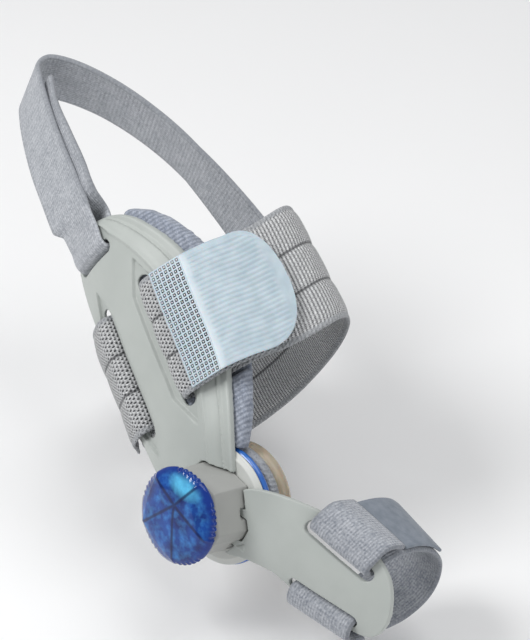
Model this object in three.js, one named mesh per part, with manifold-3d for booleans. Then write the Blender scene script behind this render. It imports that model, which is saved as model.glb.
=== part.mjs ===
// Bunion corrector in its left-hand form: a two-plate splint with a hinge between its plates, and three straps.
// Millimetres. +X runs from the shell to the toe plate, +Y from the splint into its straps, and +Z up.
// The origin is the middle of the gel pad's free face, on the knob's axis.
import * as THREE from "three";
import { mergeVertices } from "three/addons/utils/BufferGeometryUtils.js";
import Module from "manifold-3d";

const wasm = await Module();
wasm.setup();

// Clearances
const GAP = 0.35;
const FIT = 0.3;

// How the splint leans and how its shell is pitched, in degrees
const SPLINT_LEAN = 18;
const SHELL_PITCH = 31.3;

// Joint pad stack, from the gel's free face outwards
const PAD_RADIUS = 19.7;
const GEL_THICKNESS = 5.9;
const FABRIC_PAD_THICKNESS = 4.5;
const RING_THICKNESS = 2.6;
const DISC_THICKNESS = 1.5;
const DISC_SHOULDER = 1.9;
const PAD_SIDES = 26;

// Gear housing
const HOUSING_SIZE = 15.6;
const HOUSING_HEIGHT = 15.9;
const HOUSING_CHAMFER = 0.9;

// Knob
const KNOB_RADIUS = 16.1;
const KNOB_RIM = 2.2;
const KNOB_DOME = 3.6;
const KNOB_RIB_DEPTH = 0.5;
const STEM_RADIUS = 4;
const STEM_LENGTH = 6.5;

// Main shell
const SHELL_LENGTH = 103;
const SHELL_WIDTH = 54;
const SHELL_WALL = 2.4;
const SHELL_CROWN = 19.5;
const SHELL_DROP = 8.2;
const SHELL_FRONT = -4.5;
const SHELL_SPINE = 2;
const RIM_BAND = 6.5;
const RIM_FLANGE = 3.5;
const RIM_DROP = 1.6;

// Slots of the main shell
const UPPER_SLOT_HEIGHT = 10.6;
const LOWER_SLOT_HEIGHT = -12.5;
const STRAP_SLOT_WIDTH = 5;
const STRAP_SLOT_CENTRE = -56;
const HEEL_SLOT_PLACE = -97.1;
const HEEL_SLOT_WIDTH = 4.6;
const HEEL_SLOT_HEIGHT = -7.6;
const RECESS_DEPTH = 0.8;
const RECESS_REACH = 6.5;
const RECESS_SPREAD = 3.2;

// Lining
const LINING_THICKNESS = 4.6;
const LINING_PEEK = 3.4;
const LINING_LOW = -8.6;

// Toe splint
const TOE_LENGTH = 59.5;
const TOE_WIDTH = 27;
const TOE_WALL = 1.8;
const TOE_CROWN = 18.8;
const TOE_DROP = 3.4;
const TOE_SLOT_WIDTH = 4.6;
const TOE_LOWER_SLOT_WIDTH = 4.2;
const TOE_REAR = 9;
const HINGE_PLACE = 9.8;
const HINGE_LIFT = 1.1;
const HINGE_PIN_RADIUS = 0.6;
const HINGE_BARREL = 1.45;
const HINGE_EAR = 2.6;
const HINGE_EAR_PLACE = 5.3;
const HINGE_OPENING = 1.5;
const HINGE_SEAM = 0.6;

// Instep strap, and the section that it runs round
const STRAP_WIDTH = 43;
const STRAP_TAPE = 2;
const STRAP_BAND = 0.4;
const INSTEP_RISE = 51;
const SOLE_DEPTH = 50;
const FOOT_SIDE = 57;

// Hook tab of the instep strap
const TAB_WIDTH = 42;
const TAB_THICKNESS = 1.1;
const TAB_LENGTH = 47;
const TAB_ROUNDING = 13;
const TAB_NET_LENGTH = 12;
const TAB_NET_ROWS = 18;
const TAB_NET_COLUMNS = 5;
const TAB_NET_THREAD = 0.85;

// Heel strap
const HEEL_STRAP_WIDTH = 19.6;
const HEEL_STRAP_SPREAD = 22.5;
const HEEL_STRAP_THICKNESS = 2;
const HEEL_REACH = 64;
const HEEL_RISE = 28;
const ANKLE_WIDTH = 62;
const HEEL_WRINKLE = 0.22;

// Toe strap
const TOE_STRAP_WIDTH = 23;
const TOE_STRAP_THICKNESS = 1.9;
const TOE_REACH = 30;
const TOE_RISE = 15.6;
const TOE_DEPTH = 15;
const TOE_TAB_THICKNESS = 1.2;
const TOE_WRINKLE = 0.2;

// Levels measured outwards from the gel's free face
const GEL_TOP = GEL_THICKNESS;
const FABRIC_BASE = GEL_TOP + FIT;
const FABRIC_TOP = FABRIC_BASE + FABRIC_PAD_THICKNESS;
const RING_BASE = FABRIC_TOP + FIT;
const RING_TOP = RING_BASE + RING_THICKNESS;
const DISC_BASE = RING_TOP + FIT;
const DISC_TOP = DISC_BASE + DISC_THICKNESS;
const HOUSING_BASE = DISC_TOP + FIT;
const HOUSING_TOP = HOUSING_BASE + HOUSING_HEIGHT;
const KNOB_BASE = HOUSING_TOP + FIT + 0.2;

// Finishes
const finish = (color, roughness, metalness = 0) =>
  new THREE.MeshStandardMaterial({ color, roughness, metalness });
const shellPlastic = finish(0xb7bbb4, 0.45);
const housingPlastic = finish(0xa5a5a0, 0.45);
const knobPlastic = finish(0x1c4f9c, 0.12);
const ringPlastic = finish(0x1e5aaa, 0.3);
const gel = finish(0xd8cdb8, 0.25);
const elastic = finish(0x9a9c9c, 0.95);
const knit = finish(0x9b9ea3, 0.95);
const foamKnit = finish(0x8d95a3, 0.95);
const hookPlastic = finish(0xbed0da, 0.35);
const greyHook = finish(0x7d858e, 0.5);
const pinSteel = finish(0x9a9a9a, 0.4, 1);

// Basic helpers

const vec = (x, y, z) => new THREE.Vector3(x, y, z);

/** A smooth function through the rows of a table, from one column to another. */
function throughRows(rows, from, to) {
  const x = rows.map((row) => row[from]);
  const y = rows.map((row) => row[to]);
  const last = x.length - 1;
  const slope = x.map((_, i) => {
    const a = Math.max(i - 1, 0);
    const b = Math.min(i + 1, last);
    return (y[b] - y[a]) / (x[b] - x[a]);
  });
  return (value) => {
    const v = Math.min(Math.max(value, x[0]), x[last]);
    let i = 0;
    while (i < last - 1 && v > x[i + 1]) i += 1;
    const step = x[i + 1] - x[i];
    const t = (v - x[i]) / step;
    const a = 2 * t * t * t - 3 * t * t + 1;
    const b = t * t * t - 2 * t * t + t;
    const c = t * t * t - t * t;
    return a * y[i] + b * step * slope[i] + (1 - a) * y[i + 1] + c * step * slope[i + 1];
  };
}

/** Stitches rings of points with equal counts into one closed body with flat caps. */
function loft(rings, capShape) {
  const count = rings[0].length;
  const positions = rings.flat().flatMap((p) => [p.x, p.y, p.z]);
  const index = [];
  for (let r = 0; r < rings.length - 1; r += 1) {
    for (let i = 0; i < count; i += 1) {
      const a = r * count + i;
      const b = r * count + ((i + 1) % count);
      index.push(a, b, a + count, b, b + count, a + count);
    }
  }
  const sign = Math.sign(THREE.ShapeUtils.area(capShape));
  const end = (rings.length - 1) * count;
  for (const face of THREE.ShapeUtils.triangulateShape(capShape, [])) {
    const same = Math.sign(THREE.ShapeUtils.area(face.map((i) => capShape[i]))) === sign;
    const [a, b, c] = same ? face : [face[0], face[2], face[1]];
    index.push(a, c, b);
    index.push(end + a, end + b, end + c);
  }
  const geometry = new THREE.BufferGeometry();
  geometry.setAttribute("position", new THREE.Float32BufferAttribute(positions, 3));
  geometry.setIndex(index);
  return outwards(geometry);
}

/** Turns every face round when the body is inside out. */
function outwards(geometry) {
  const p = geometry.attributes.position;
  const index = geometry.index.array;
  let volume = 0;
  const [a, b, c] = [vec(0, 0, 0), vec(0, 0, 0), vec(0, 0, 0)];
  for (let i = 0; i < index.length; i += 3) {
    a.fromBufferAttribute(p, index[i]);
    b.fromBufferAttribute(p, index[i + 1]);
    c.fromBufferAttribute(p, index[i + 2]);
    volume += a.dot(b.cross(c));
  }
  if (volume < 0) {
    for (let i = 0; i < index.length; i += 3) {
      const held = index[i];
      index[i] = index[i + 1];
      index[i + 1] = held;
    }
  }
  return geometry;
}

/** A three.js geometry as a solid that can be joined and cut. */
function solidOf(geometry) {
  const bare = geometry.clone();
  bare.deleteAttribute("normal");
  bare.deleteAttribute("uv");
  const merged = mergeVertices(bare, 1e-4);
  return new wasm.Manifold(
    new wasm.Mesh({
      numProp: 3,
      vertProperties: Float32Array.from(merged.attributes.position.array),
      triVerts: Uint32Array.from(merged.index.array),
    }),
  );
}

/** A solid back as a three.js geometry. */
function geometryOf(solid) {
  const mesh = solid.getMesh();
  const geometry = new THREE.BufferGeometry();
  geometry.setAttribute("position", new THREE.BufferAttribute(mesh.vertProperties, 3));
  geometry.setIndex(new THREE.BufferAttribute(mesh.triVerts, 1));
  return geometry;
}

function part(name, geometry, material, parent) {
  geometry.computeVertexNormals();
  const mesh = new THREE.Mesh(geometry, material);
  mesh.name = name;
  parent.add(mesh);
  return mesh;
}

function boxSolid(x, y, z) {
  const size = [x[1] - x[0], y[1] - y[0], z[1] - z[0]];
  const box = new THREE.BoxGeometry(...size);
  box.translate((x[0] + x[1]) / 2, (y[0] + y[1]) / 2, (z[0] + z[1]) / 2);
  return solidOf(box);
}

/** A round body about the knob's axis, from rows of radius and level. */
function turned(rows, sides) {
  const profile = rows.map(([radius, level]) => new THREE.Vector2(radius, level));
  const geometry = mergeVertices(stripped(new THREE.LatheGeometry(profile, sides)), 1e-4);
  geometry.rotateX(Math.PI);
  return outwards(geometry);
}

function stripped(geometry) {
  geometry.deleteAttribute("normal");
  geometry.deleteAttribute("uv");
  return geometry;
}

// Frames of the splint

const corrector = new THREE.Group();
const splint = new THREE.Group();
splint.rotation.x = THREE.MathUtils.degToRad(-SPLINT_LEAN);
corrector.add(splint);
const shellFrame = new THREE.Group();
shellFrame.rotation.y = THREE.MathUtils.degToRad(SHELL_PITCH);
splint.add(shellFrame);

/** Splint coordinates given in the shell's pitched frame. */
function toShell(geometry) {
  return geometry.rotateY(THREE.MathUtils.degToRad(-SHELL_PITCH));
}

// Main shell

const SHELL_SECTIONS = [
  { along: 0, low: -0.3, high: 0.245, rise: 1, bend: 0.3 },
  { along: 0.06, low: -0.306, high: 0.31, rise: 1, bend: 0.32 },
  { along: 0.17, low: -0.324, high: 0.41, rise: 0.98, bend: 0.5 },
  { along: 0.27, low: -0.36, high: 0.47, rise: 0.945, bend: 0.75 },
  { along: 0.35, low: -0.395, high: 0.51, rise: 0.905, bend: 0.92 },
  { along: 0.45, low: -0.405, high: 0.535, rise: 0.85, bend: 1 },
  { along: 0.55, low: -0.405, high: 0.535, rise: 0.79, bend: 1 },
  { along: 0.65, low: -0.41, high: 0.515, rise: 0.715, bend: 1 },
  { along: 0.73, low: -0.44, high: 0.475, rise: 0.645, bend: 1 },
  { along: 0.81, low: -0.435, high: 0.41, rise: 0.57, bend: 0.98 },
  { along: 0.88, low: -0.4, high: 0.33, rise: 0.5, bend: 0.95 },
  { along: 0.94, low: -0.335, high: 0.235, rise: 0.44, bend: 0.92 },
  { along: 0.98, low: -0.24, high: 0.12, rise: 0.4, bend: 0.9 },
  { along: 1, low: -0.13, high: -0.01, rise: 0.385, bend: 0.9 },
];
const SHELL_STATIONS = 20;

const shellLow = throughRows(SHELL_SECTIONS, "along", "low");
const shellHigh = throughRows(SHELL_SECTIONS, "along", "high");
const shellRise = throughRows(SHELL_SECTIONS, "along", "rise");
const shellBend = throughRows(SHELL_SECTIONS, "along", "bend");
const alongOf = (u) => (SHELL_FRONT - u) / SHELL_LENGTH;
const highEdge = (u) => SHELL_WIDTH * shellHigh(alongOf(u));
const lowEdge = (u) => SHELL_WIDTH * shellLow(alongOf(u));

/** Level of the shell's plain outer face, without its rim. */
function shellFace(u, v) {
  const share = alongOf(u);
  const across = (v - SHELL_SPINE) / (SHELL_WIDTH / 2);
  return SHELL_CROWN * shellRise(share) - SHELL_DROP * shellBend(share) * across * across;
}

// Steps of the rim, from the plain face out to the edge
const RIM_STEPS = [
  { inset: 1, drop: 0 },
  { inset: 0.93, drop: -0.16 },
  { inset: 0.66, drop: 0.2 },
  { inset: 0.42, drop: 0.62 },
  { inset: 0.36, drop: 0.48 },
  { inset: 0.3, drop: 0.8 },
  { inset: 0, drop: 1 },
];
const FACE_STEPS = 6;
const INNER_STEPS = 6;
const REAR_ROUNDING = 1.35;

function shellRing(u) {
  const low = lowEdge(u);
  const high = highEdge(u);
  const rim = Math.min(RIM_BAND + RIM_FLANGE, (high - low) * 0.3);
  const outer = [];
  for (let i = 0; i < FACE_STEPS; i += 1) {
    const v = low + ((high - rim - low) * i) / FACE_STEPS;
    outer.push([v, shellFace(u, v)]);
  }
  for (const step of RIM_STEPS) {
    const v = high - rim * step.inset;
    outer.push([v, shellFace(u, v) - RIM_DROP * step.drop]);
  }
  const inner = [];
  for (let i = 0; i <= INNER_STEPS; i += 1) {
    const v = high + ((low - high) * i) / INNER_STEPS;
    const rimShare = Math.max(0, 1 - (high - v) / rim);
    inner.push([v, shellFace(u, v) - SHELL_WALL - RIM_DROP * rimShare]);
  }
  return [...outer, ...inner];
}

/** The long boat-shaped recess and the slot in it, as solids to cut out of the shell. */
function slotCutters(height, length) {
  const u = STRAP_SLOT_CENTRE;
  const tilt = slopeAcross(u, height);
  const along = slopeAlong(u, height);
  const place = (geometry, depth) => {
    geometry.rotateX(tilt);
    geometry.rotateZ(-along);
    geometry.translate(u, -(shellFace(u, height) - depth), height);
    return solidOf(geometry);
  };
  const half = length / 2;
  const round = STRAP_SLOT_WIDTH / 2;
  const slot = new THREE.Shape();
  slot.absarc(half - round, 0, round, -Math.PI / 2, Math.PI / 2);
  slot.absarc(round - half, 0, round, Math.PI / 2, (3 * Math.PI) / 2);
  const tip = half + RECESS_REACH;
  const spread = STRAP_SLOT_WIDTH / 2 + RECESS_SPREAD;
  const boat = new THREE.Shape();
  boat.moveTo(-tip, 0);
  boat.quadraticCurveTo(-half, spread, 0, spread);
  boat.quadraticCurveTo(half, spread, tip, 0);
  boat.quadraticCurveTo(half, -spread, 0, -spread);
  boat.quadraticCurveTo(-half, -spread, -tip, 0);
  const through = new THREE.ExtrudeGeometry(slot, { depth: 24, bevelEnabled: false, curveSegments: 5 });
  through.translate(0, 0, -12);
  through.rotateX(Math.PI / 2);
  const shallow = new THREE.ExtrudeGeometry(boat, { depth: 10, bevelEnabled: false, curveSegments: 5 });
  shallow.rotateX(Math.PI / 2);
  return [place(through, 0), place(shallow, RECESS_DEPTH)];
}

const slopeAcross = (u, v) => Math.atan2(shellFace(u, v + 1) - shellFace(u, v - 1), 2);
const slopeAlong = (u, v) => Math.atan2(shellFace(u + 20, v) - shellFace(u - 20, v), 40);

function heelSlotCutter() {
  const half = (HEEL_STRAP_WIDTH + 2) / 2;
  const round = HEEL_SLOT_WIDTH / 2;
  const slot = new THREE.Shape();
  slot.absarc(0, half - round, round, 0, Math.PI);
  slot.absarc(0, round - half, round, Math.PI, 2 * Math.PI);
  const cutter = new THREE.ExtrudeGeometry(slot, { depth: 40, bevelEnabled: false, curveSegments: 5 });
  cutter.rotateX(Math.PI / 2);
  cutter.translate(HEEL_SLOT_PLACE, 20, HEEL_SLOT_HEIGHT);
  return solidOf(cutter);
}

function mainShell() {
  const rings = [];
  for (let i = 0; i <= SHELL_STATIONS; i += 1) {
    const share = 1 - Math.pow(1 - i / SHELL_STATIONS, REAR_ROUNDING);
    const u = SHELL_FRONT - SHELL_LENGTH * share;
    rings.push(shellRing(u).map(([v, level]) => vec(u, -level, v)));
  }
  const cap = shellRing(SHELL_FRONT).map(([v, level]) => new THREE.Vector2(v, -level));
  let solid = solidOf(loft(rings, cap));
  const cuts = [
    ...slotCutters(UPPER_SLOT_HEIGHT, STRAP_WIDTH + 5),
    ...slotCutters(LOWER_SLOT_HEIGHT, STRAP_WIDTH + 4.5),
    heelSlotCutter(),
    solidOf(toShell(housingBlock(GAP + 0.12, -6, 6))),
    solidOf(toShell(turned([[0, -20], [PAD_RADIUS + GAP, -20], [PAD_RADIUS + GAP, DISC_TOP + FIT],
      [0, DISC_TOP + FIT]], PAD_SIDES))),
  ];
  for (const cut of cuts) solid = solid.subtract(cut);
  const bodies = solid.decompose();
  bodies.sort((a, b) => b.volume() - a.volume());
  return geometryOf(bodies[0]);
}

// Gear housing: a faceted block whose straight front edges face the toe splint

const HOUSING_CORNERS = [
  { x: 1.02, z: 0.06 },
  { x: 0.96, z: -0.19 },
  { x: 0.66, z: -0.64 },
  { x: 0.37, z: -0.91 },
  { x: -0.3, z: -0.98 },
  { x: -0.8, z: -0.6 },
  { x: -0.95, z: 0.1 },
  { x: -0.56, z: 0.78 },
  { x: 0.1, z: 0.89 },
  { x: 0.55, z: 0.82 },
];

function housingOutline(grow, share = 1) {
  const reach = HOUSING_SIZE * share;
  return HOUSING_CORNERS.map(({ x, z }) => {
    const size = Math.hypot(x, z);
    return [x * reach + (grow * x) / size, z * reach + (grow * z) / size];
  });
}

/** The housing's block, grown by a margin and drawn out below and above. */
function housingBlock(grow, below, above) {
  const levels = [
    [HOUSING_BASE + below, 1, grow],
    [HOUSING_TOP - HOUSING_CHAMFER, 0.975, grow],
    [HOUSING_TOP + above, 0.975, grow - HOUSING_CHAMFER],
  ];
  const rings = levels.map(([level, share, margin]) =>
    housingOutline(margin, share).map(([x, z]) => vec(x, -level, z)),
  );
  const cap = housingOutline(0).map(([x, z]) => new THREE.Vector2(x, z));
  return loft(rings, cap);
}

/** A round bar along the hinge's axis. */
function hingeBar(radius, from, to) {
  const bar = new THREE.CylinderGeometry(radius, radius, to - from, 10);
  bar.rotateX(Math.PI / 2);
  bar.translate(HINGE_PLACE, -(TOE_CROWN + HINGE_LIFT), (from + to) / 2);
  return bar;
}

function gearHousing() {
  let solid = solidOf(housingBlock(0, 0, 0));
  const bore = turned([[0, HOUSING_TOP - STEM_LENGTH], [STEM_RADIUS + FIT, HOUSING_TOP - STEM_LENGTH],
    [STEM_RADIUS + FIT, HOUSING_TOP + 5], [0, HOUSING_TOP + 5]], 16);
  solid = solid.subtract(solidOf(bore));
  const axisLevel = TOE_CROWN + HINGE_LIFT;
  const clear = HINGE_BARREL + FIT;
  for (const side of [-1, 1]) {
    const middle = side * HINGE_EAR_PLACE;
    const z = [middle - HINGE_EAR / 2 - FIT, middle + HINGE_EAR / 2 + FIT];
    const roof = TOE_CROWN + HINGE_OPENING;
    solid = solid.subtract(boxSolid([HINGE_PLACE - clear, HOUSING_SIZE + 9], [-roof, -HOUSING_BASE + 3], z));
    solid = solid.subtract(
      boxSolid([HINGE_PLACE - clear, HINGE_PLACE + clear], [-(axisLevel + clear), -HOUSING_BASE + 3], z),
    );
  }
  const reach = HINGE_EAR_PLACE + HINGE_EAR / 2 + 1.5;
  return geometryOf(solid.subtract(solidOf(hingeBar(HINGE_PIN_RADIUS + FIT, -reach, reach))));
}

function hingePin() {
  const reach = HINGE_EAR_PLACE + HINGE_EAR / 2 + 1.2;
  return outwards(mergeVertices(stripped(hingeBar(HINGE_PIN_RADIUS, -reach, reach)), 1e-4));
}

// Knob: a clear blue gem with a five-sided face and five groups of grip ribs

const KNOB_SIDES = 50;
const KNOB_FIFTH = KNOB_SIDES / 5;
const KNOB_RINGS = [
  { radius: 0.86, rise: 0, ribs: 0, corners: 0 },
  { radius: 0.97, rise: 0.12, ribs: 1, corners: 0 },
  { radius: 1, rise: 0.4, ribs: 1, corners: 0 },
  { radius: 0.955, rise: 0.62, ribs: 0.5, corners: 0 },
  { radius: 0.9, rise: 0.78, ribs: 0, corners: 1 },
];

function adjustingKnob() {
  const height = KNOB_RIM + KNOB_DOME;
  const rings = KNOB_RINGS.map((row) => {
    const points = [];
    for (let i = 0; i < KNOB_SIDES; i += 1) {
      const angle = (2 * Math.PI * i) / KNOB_SIDES;
      const inFifth = i % KNOB_FIFTH;
      const groove = inFifth < 6 && inFifth % 2 === 1 ? KNOB_RIB_DEPTH * row.ribs : 0;
      const turn = Math.abs(((inFifth + KNOB_FIFTH / 2) % KNOB_FIFTH) / KNOB_FIFTH - 0.5) * 0.4 * Math.PI;
      const pentagon = 1 - row.corners * (1 - Math.cos(Math.PI / 5) / Math.cos(Math.PI / 5 - turn)) * 0.75;
      const radius = KNOB_RADIUS * row.radius * pentagon - groove;
      points.push(vec(radius * Math.cos(angle), -(KNOB_BASE + height * row.rise), radius * Math.sin(angle)));
    }
    return points;
  });
  const top = rings[rings.length - 1].map((p) => vec(p.x * 0.12, -(KNOB_BASE + height), p.z * 0.12));
  rings.push(top);
  const cap = rings[0].map((p) => new THREE.Vector2(p.x, p.z));
  const stem = turned([[0, HOUSING_TOP - STEM_LENGTH + FIT], [STEM_RADIUS, HOUSING_TOP - STEM_LENGTH + FIT],
    [STEM_RADIUS, KNOB_BASE + 0.5], [0, KNOB_BASE + 0.5]], 16);
  return geometryOf(solidOf(loft(rings, cap)).add(solidOf(stem)));
}

// Joint pad stack

const gelPad = () => turned([[0, 0], [PAD_RADIUS - 2.4, 0], [PAD_RADIUS - 0.7, 0.9], [PAD_RADIUS, 2.8],
  [PAD_RADIUS - 0.3, 4.8], [PAD_RADIUS - 1.2, GEL_TOP], [0, GEL_TOP]], PAD_SIDES);

const fabricPad = () => turned([[0, FABRIC_BASE], [PAD_RADIUS - 1, FABRIC_BASE], [PAD_RADIUS, FABRIC_BASE + 1],
  [PAD_RADIUS, FABRIC_TOP - 1], [PAD_RADIUS - 1, FABRIC_TOP], [0, FABRIC_TOP]], PAD_SIDES);

const blueRing = () => turned([[0, RING_BASE], [PAD_RADIUS - 0.6, RING_BASE],
  [PAD_RADIUS + 0.2, RING_BASE + 0.6], [PAD_RADIUS + 0.2, RING_TOP - 0.6],
  [PAD_RADIUS - 0.6, RING_TOP], [0, RING_TOP]], PAD_SIDES);

const jointDisc = () => turned([[0, DISC_BASE], [PAD_RADIUS, DISC_BASE], [PAD_RADIUS, DISC_BASE + 0.6],
  [PAD_RADIUS - DISC_SHOULDER, DISC_TOP], [0, DISC_TOP]], PAD_SIDES);

// Lining inside the shell

const LINING_SECTIONS = [
  { along: 0.04, low: -0.16, high: 0 },
  { along: 0.12, low: -0.16, high: 1 },
  { along: 0.3, low: -0.16, high: 1 },
  { along: 0.6, low: -0.16, high: 1 },
  { along: 0.8, low: -0.16, high: 1 },
  { along: 0.85, low: -0.08, high: 1 },
  { along: 0.88, low: 0.1, high: 1 },
  { along: 0.94, low: 0.155, high: 1 },
  { along: 0.975, low: 0.16, high: 0.9 },
];
const LINING_STATIONS = 20;
const liningLow = throughRows(LINING_SECTIONS, "along", "low");
const liningHigh = throughRows(LINING_SECTIONS, "along", "high");

/** Level of the shell's inner face, with its rim. */
function shellInside(u, v) {
  const high = highEdge(u);
  const rim = Math.min(RIM_BAND + RIM_FLANGE, (high - lowEdge(u)) * 0.3);
  const rimShare = Math.min(Math.max(0, 1 - (high - v) / rim), 1.25);
  return shellFace(u, v) - SHELL_WALL - RIM_DROP * rimShare;
}

// The room that the instep strap takes between the shell and its lining
const CHANNEL_DEPTH = STRAP_TAPE + 2 * STRAP_BAND + GAP + 0.4;
const CHANNEL_START = UPPER_SLOT_HEIGHT - STRAP_SLOT_WIDTH / 2 - 0.6;
const CHANNEL_EDGES = [1, -1].map((side) => STRAP_SLOT_CENTRE + side * (STRAP_WIDTH / 2 + 1));

function liningRing(u) {
  const share = alongOf(u);
  const low = Math.max(SHELL_WIDTH * liningLow(share), LINING_LOW);
  const high = highEdge(u) + LINING_PEEK * liningHigh(share);
  const inChannel = u < CHANNEL_EDGES[0] && u > CHANNEL_EDGES[1];
  const start = Math.max(CHANNEL_START, low + (high - low) * 0.4);
  const sunk = inChannel ? CHANNEL_DEPTH : 0.02;
  const stretch = (from, to, steps) =>
    Array.from({ length: steps + 1 }, (_, i) => THREE.MathUtils.lerp(from, to, i / steps));
  const level = (v) => shellInside(u, v) - GAP - 0.42;
  const outer = [
    ...stretch(low, start, 2).map((v) => [v, level(v)]),
    ...stretch(start, high, 3).map((v) => [v, level(v) - sunk]),
  ];
  const inner = stretch(high, low, 5).map((v) => [v, level(v) - LINING_THICKNESS]);
  return [...outer, ...inner];
}

function shellLining() {
  const first = SHELL_FRONT - SHELL_LENGTH * LINING_SECTIONS[0].along;
  const last = SHELL_FRONT - SHELL_LENGTH * LINING_SECTIONS[LINING_SECTIONS.length - 1].along;
  const places = [];
  for (let i = 0; i <= LINING_STATIONS; i += 1) {
    places.push(THREE.MathUtils.lerp(first, last, i / LINING_STATIONS));
  }
  for (const edge of CHANNEL_EDGES) places.push(edge - 0.02, edge + 0.02);
  places.sort((a, b) => b - a);
  const rings = places.map((u) => liningRing(u).map(([v, level]) => vec(u, -level, v)));
  const cap = liningRing(first).map(([v, level]) => new THREE.Vector2(v, -level));
  const pads = turned([[0, -20], [PAD_RADIUS + 1, -20], [PAD_RADIUS + 1, 40], [0, 40]], PAD_SIDES);
  const bodies = solidOf(loft(rings, cap)).subtract(solidOf(toShell(pads))).decompose();
  bodies.sort((a, b) => b.volume() - a.volume());
  return geometryOf(bodies[0]);
}

// Toe splint

const TOE_SECTIONS = [
  { along: 0, low: -0.42, high: 0.445, rise: 1, bend: 0.1 },
  { along: 0.06, low: -0.4, high: 0.53, rise: 1, bend: 0.15 },
  { along: 0.13, low: -0.345, high: 0.6, rise: 1, bend: 0.25 },
  { along: 0.22, low: -0.31, high: 0.655, rise: 0.985, bend: 0.45 },
  { along: 0.33, low: -0.31, high: 0.69, rise: 0.935, bend: 0.7 },
  { along: 0.42, low: -0.385, high: 0.69, rise: 0.865, bend: 0.9 },
  { along: 0.5, low: -0.46, high: 0.675, rise: 0.79, bend: 1 },
  { along: 0.6, low: -0.51, high: 0.63, rise: 0.69, bend: 1.05 },
  { along: 0.7, low: -0.54, high: 0.565, rise: 0.575, bend: 1.05 },
  { along: 0.8, low: -0.55, high: 0.485, rise: 0.46, bend: 1 },
  { along: 0.88, low: -0.525, high: 0.385, rise: 0.365, bend: 0.9 },
  { along: 0.94, low: -0.46, high: 0.26, rise: 0.3, bend: 0.8 },
  { along: 0.98, low: -0.34, high: 0.09, rise: 0.255, bend: 0.7 },
  { along: 1, low: -0.2, high: -0.08, rise: 0.235, bend: 0.7 },
];
const TOE_STATIONS = 17;
const TOE_STEPS = 7;
const toeLow = throughRows(TOE_SECTIONS, "along", "low");
const toeHigh = throughRows(TOE_SECTIONS, "along", "high");
const toeRise = throughRows(TOE_SECTIONS, "along", "rise");
const toeBend = throughRows(TOE_SECTIONS, "along", "bend");
const toeAlong = (x) => (x - TOE_REAR) / TOE_LENGTH;

/** Level of the toe splint's outer face. */
function toeFace(x, z) {
  const share = toeAlong(x);
  const middle = (TOE_WIDTH * (toeLow(share) + toeHigh(share))) / 2;
  const across = (z - middle) / (TOE_WIDTH / 2);
  return TOE_CROWN * toeRise(share) - TOE_DROP * toeBend(share) * across * across;
}

// The two slots of the toe splint, from their rear end to their front end
const TOE_SLOTS = {
  upper: { rear: 34.2, rearHeight: 13.9, front: 59.2, frontHeight: 6.4 },
  lower: { rear: 34.4, rearHeight: -7.9, front: 59, frontHeight: -10.9 },
};

function toeSlotCutter(slot, width) {
  const length = Math.hypot(slot.front - slot.rear, slot.frontHeight - slot.rearHeight);
  const round = width / 2;
  const shape = new THREE.Shape();
  shape.absarc(length / 2 - round, 0, round, -Math.PI / 2, Math.PI / 2);
  shape.absarc(round - length / 2, 0, round, Math.PI / 2, (3 * Math.PI) / 2);
  const cutter = new THREE.ExtrudeGeometry(shape, { depth: 60, bevelEnabled: false, curveSegments: 5 });
  cutter.rotateX(Math.PI / 2);
  cutter.rotateY(-Math.atan2(slot.frontHeight - slot.rearHeight, slot.front - slot.rear));
  cutter.translate((slot.rear + slot.front) / 2, 30, (slot.rearHeight + slot.frontHeight) / 2);
  return solidOf(cutter);
}

function toeSplint() {
  const rings = [];
  const ringAt = (x) => {
    const low = TOE_WIDTH * toeLow(toeAlong(x));
    const high = TOE_WIDTH * toeHigh(toeAlong(x));
    const outer = [];
    const inner = [];
    for (let i = 0; i <= TOE_STEPS; i += 1) {
      const z = low + ((high - low) * i) / TOE_STEPS;
      outer.push([z, toeFace(x, z)]);
      inner.unshift([z, toeFace(x, z) - TOE_WALL]);
    }
    return [...outer, ...inner];
  };
  for (let i = 0; i <= TOE_STATIONS; i += 1) {
    const x = TOE_REAR + TOE_LENGTH * (1 - Math.pow(1 - i / TOE_STATIONS, 1.3));
    rings.push(ringAt(x).map(([z, level]) => vec(x, -level, z)));
  }
  const cap = ringAt(TOE_REAR).map(([z, level]) => new THREE.Vector2(z, -level));
  let solid = solidOf(loft(rings, cap));
  solid = solid.subtract(solidOf(housingBlock(HINGE_SEAM, -8, 8)));
  for (const side of [-1, 1]) solid = solid.add(hingeEar(side));
  solid = solid.subtract(solidOf(hingeBar(HINGE_PIN_RADIUS + FIT, -12, 12)));
  solid = solid.subtract(toeSlotCutter(TOE_SLOTS.upper, TOE_SLOT_WIDTH));
  solid = solid.subtract(toeSlotCutter(TOE_SLOTS.lower, TOE_LOWER_SLOT_WIDTH));
  const bodies = solid.decompose();
  bodies.sort((a, b) => b.volume() - a.volume());
  return geometryOf(bodies[0]);
}

/** One ear of the toe splint, which the hinge pin passes through. */
function hingeEar(side) {
  const middle = side * HINGE_EAR_PLACE;
  const z = [middle - HINGE_EAR / 2, middle + HINGE_EAR / 2];
  const web = boxSolid([HINGE_PLACE, HOUSING_SIZE + 1.6], [-(TOE_CROWN - 0.05), -(TOE_CROWN - TOE_WALL)], z);
  return web.add(solidOf(stripped(hingeBar(HINGE_BARREL, z[0], z[1]))));
}

// Straps

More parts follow.
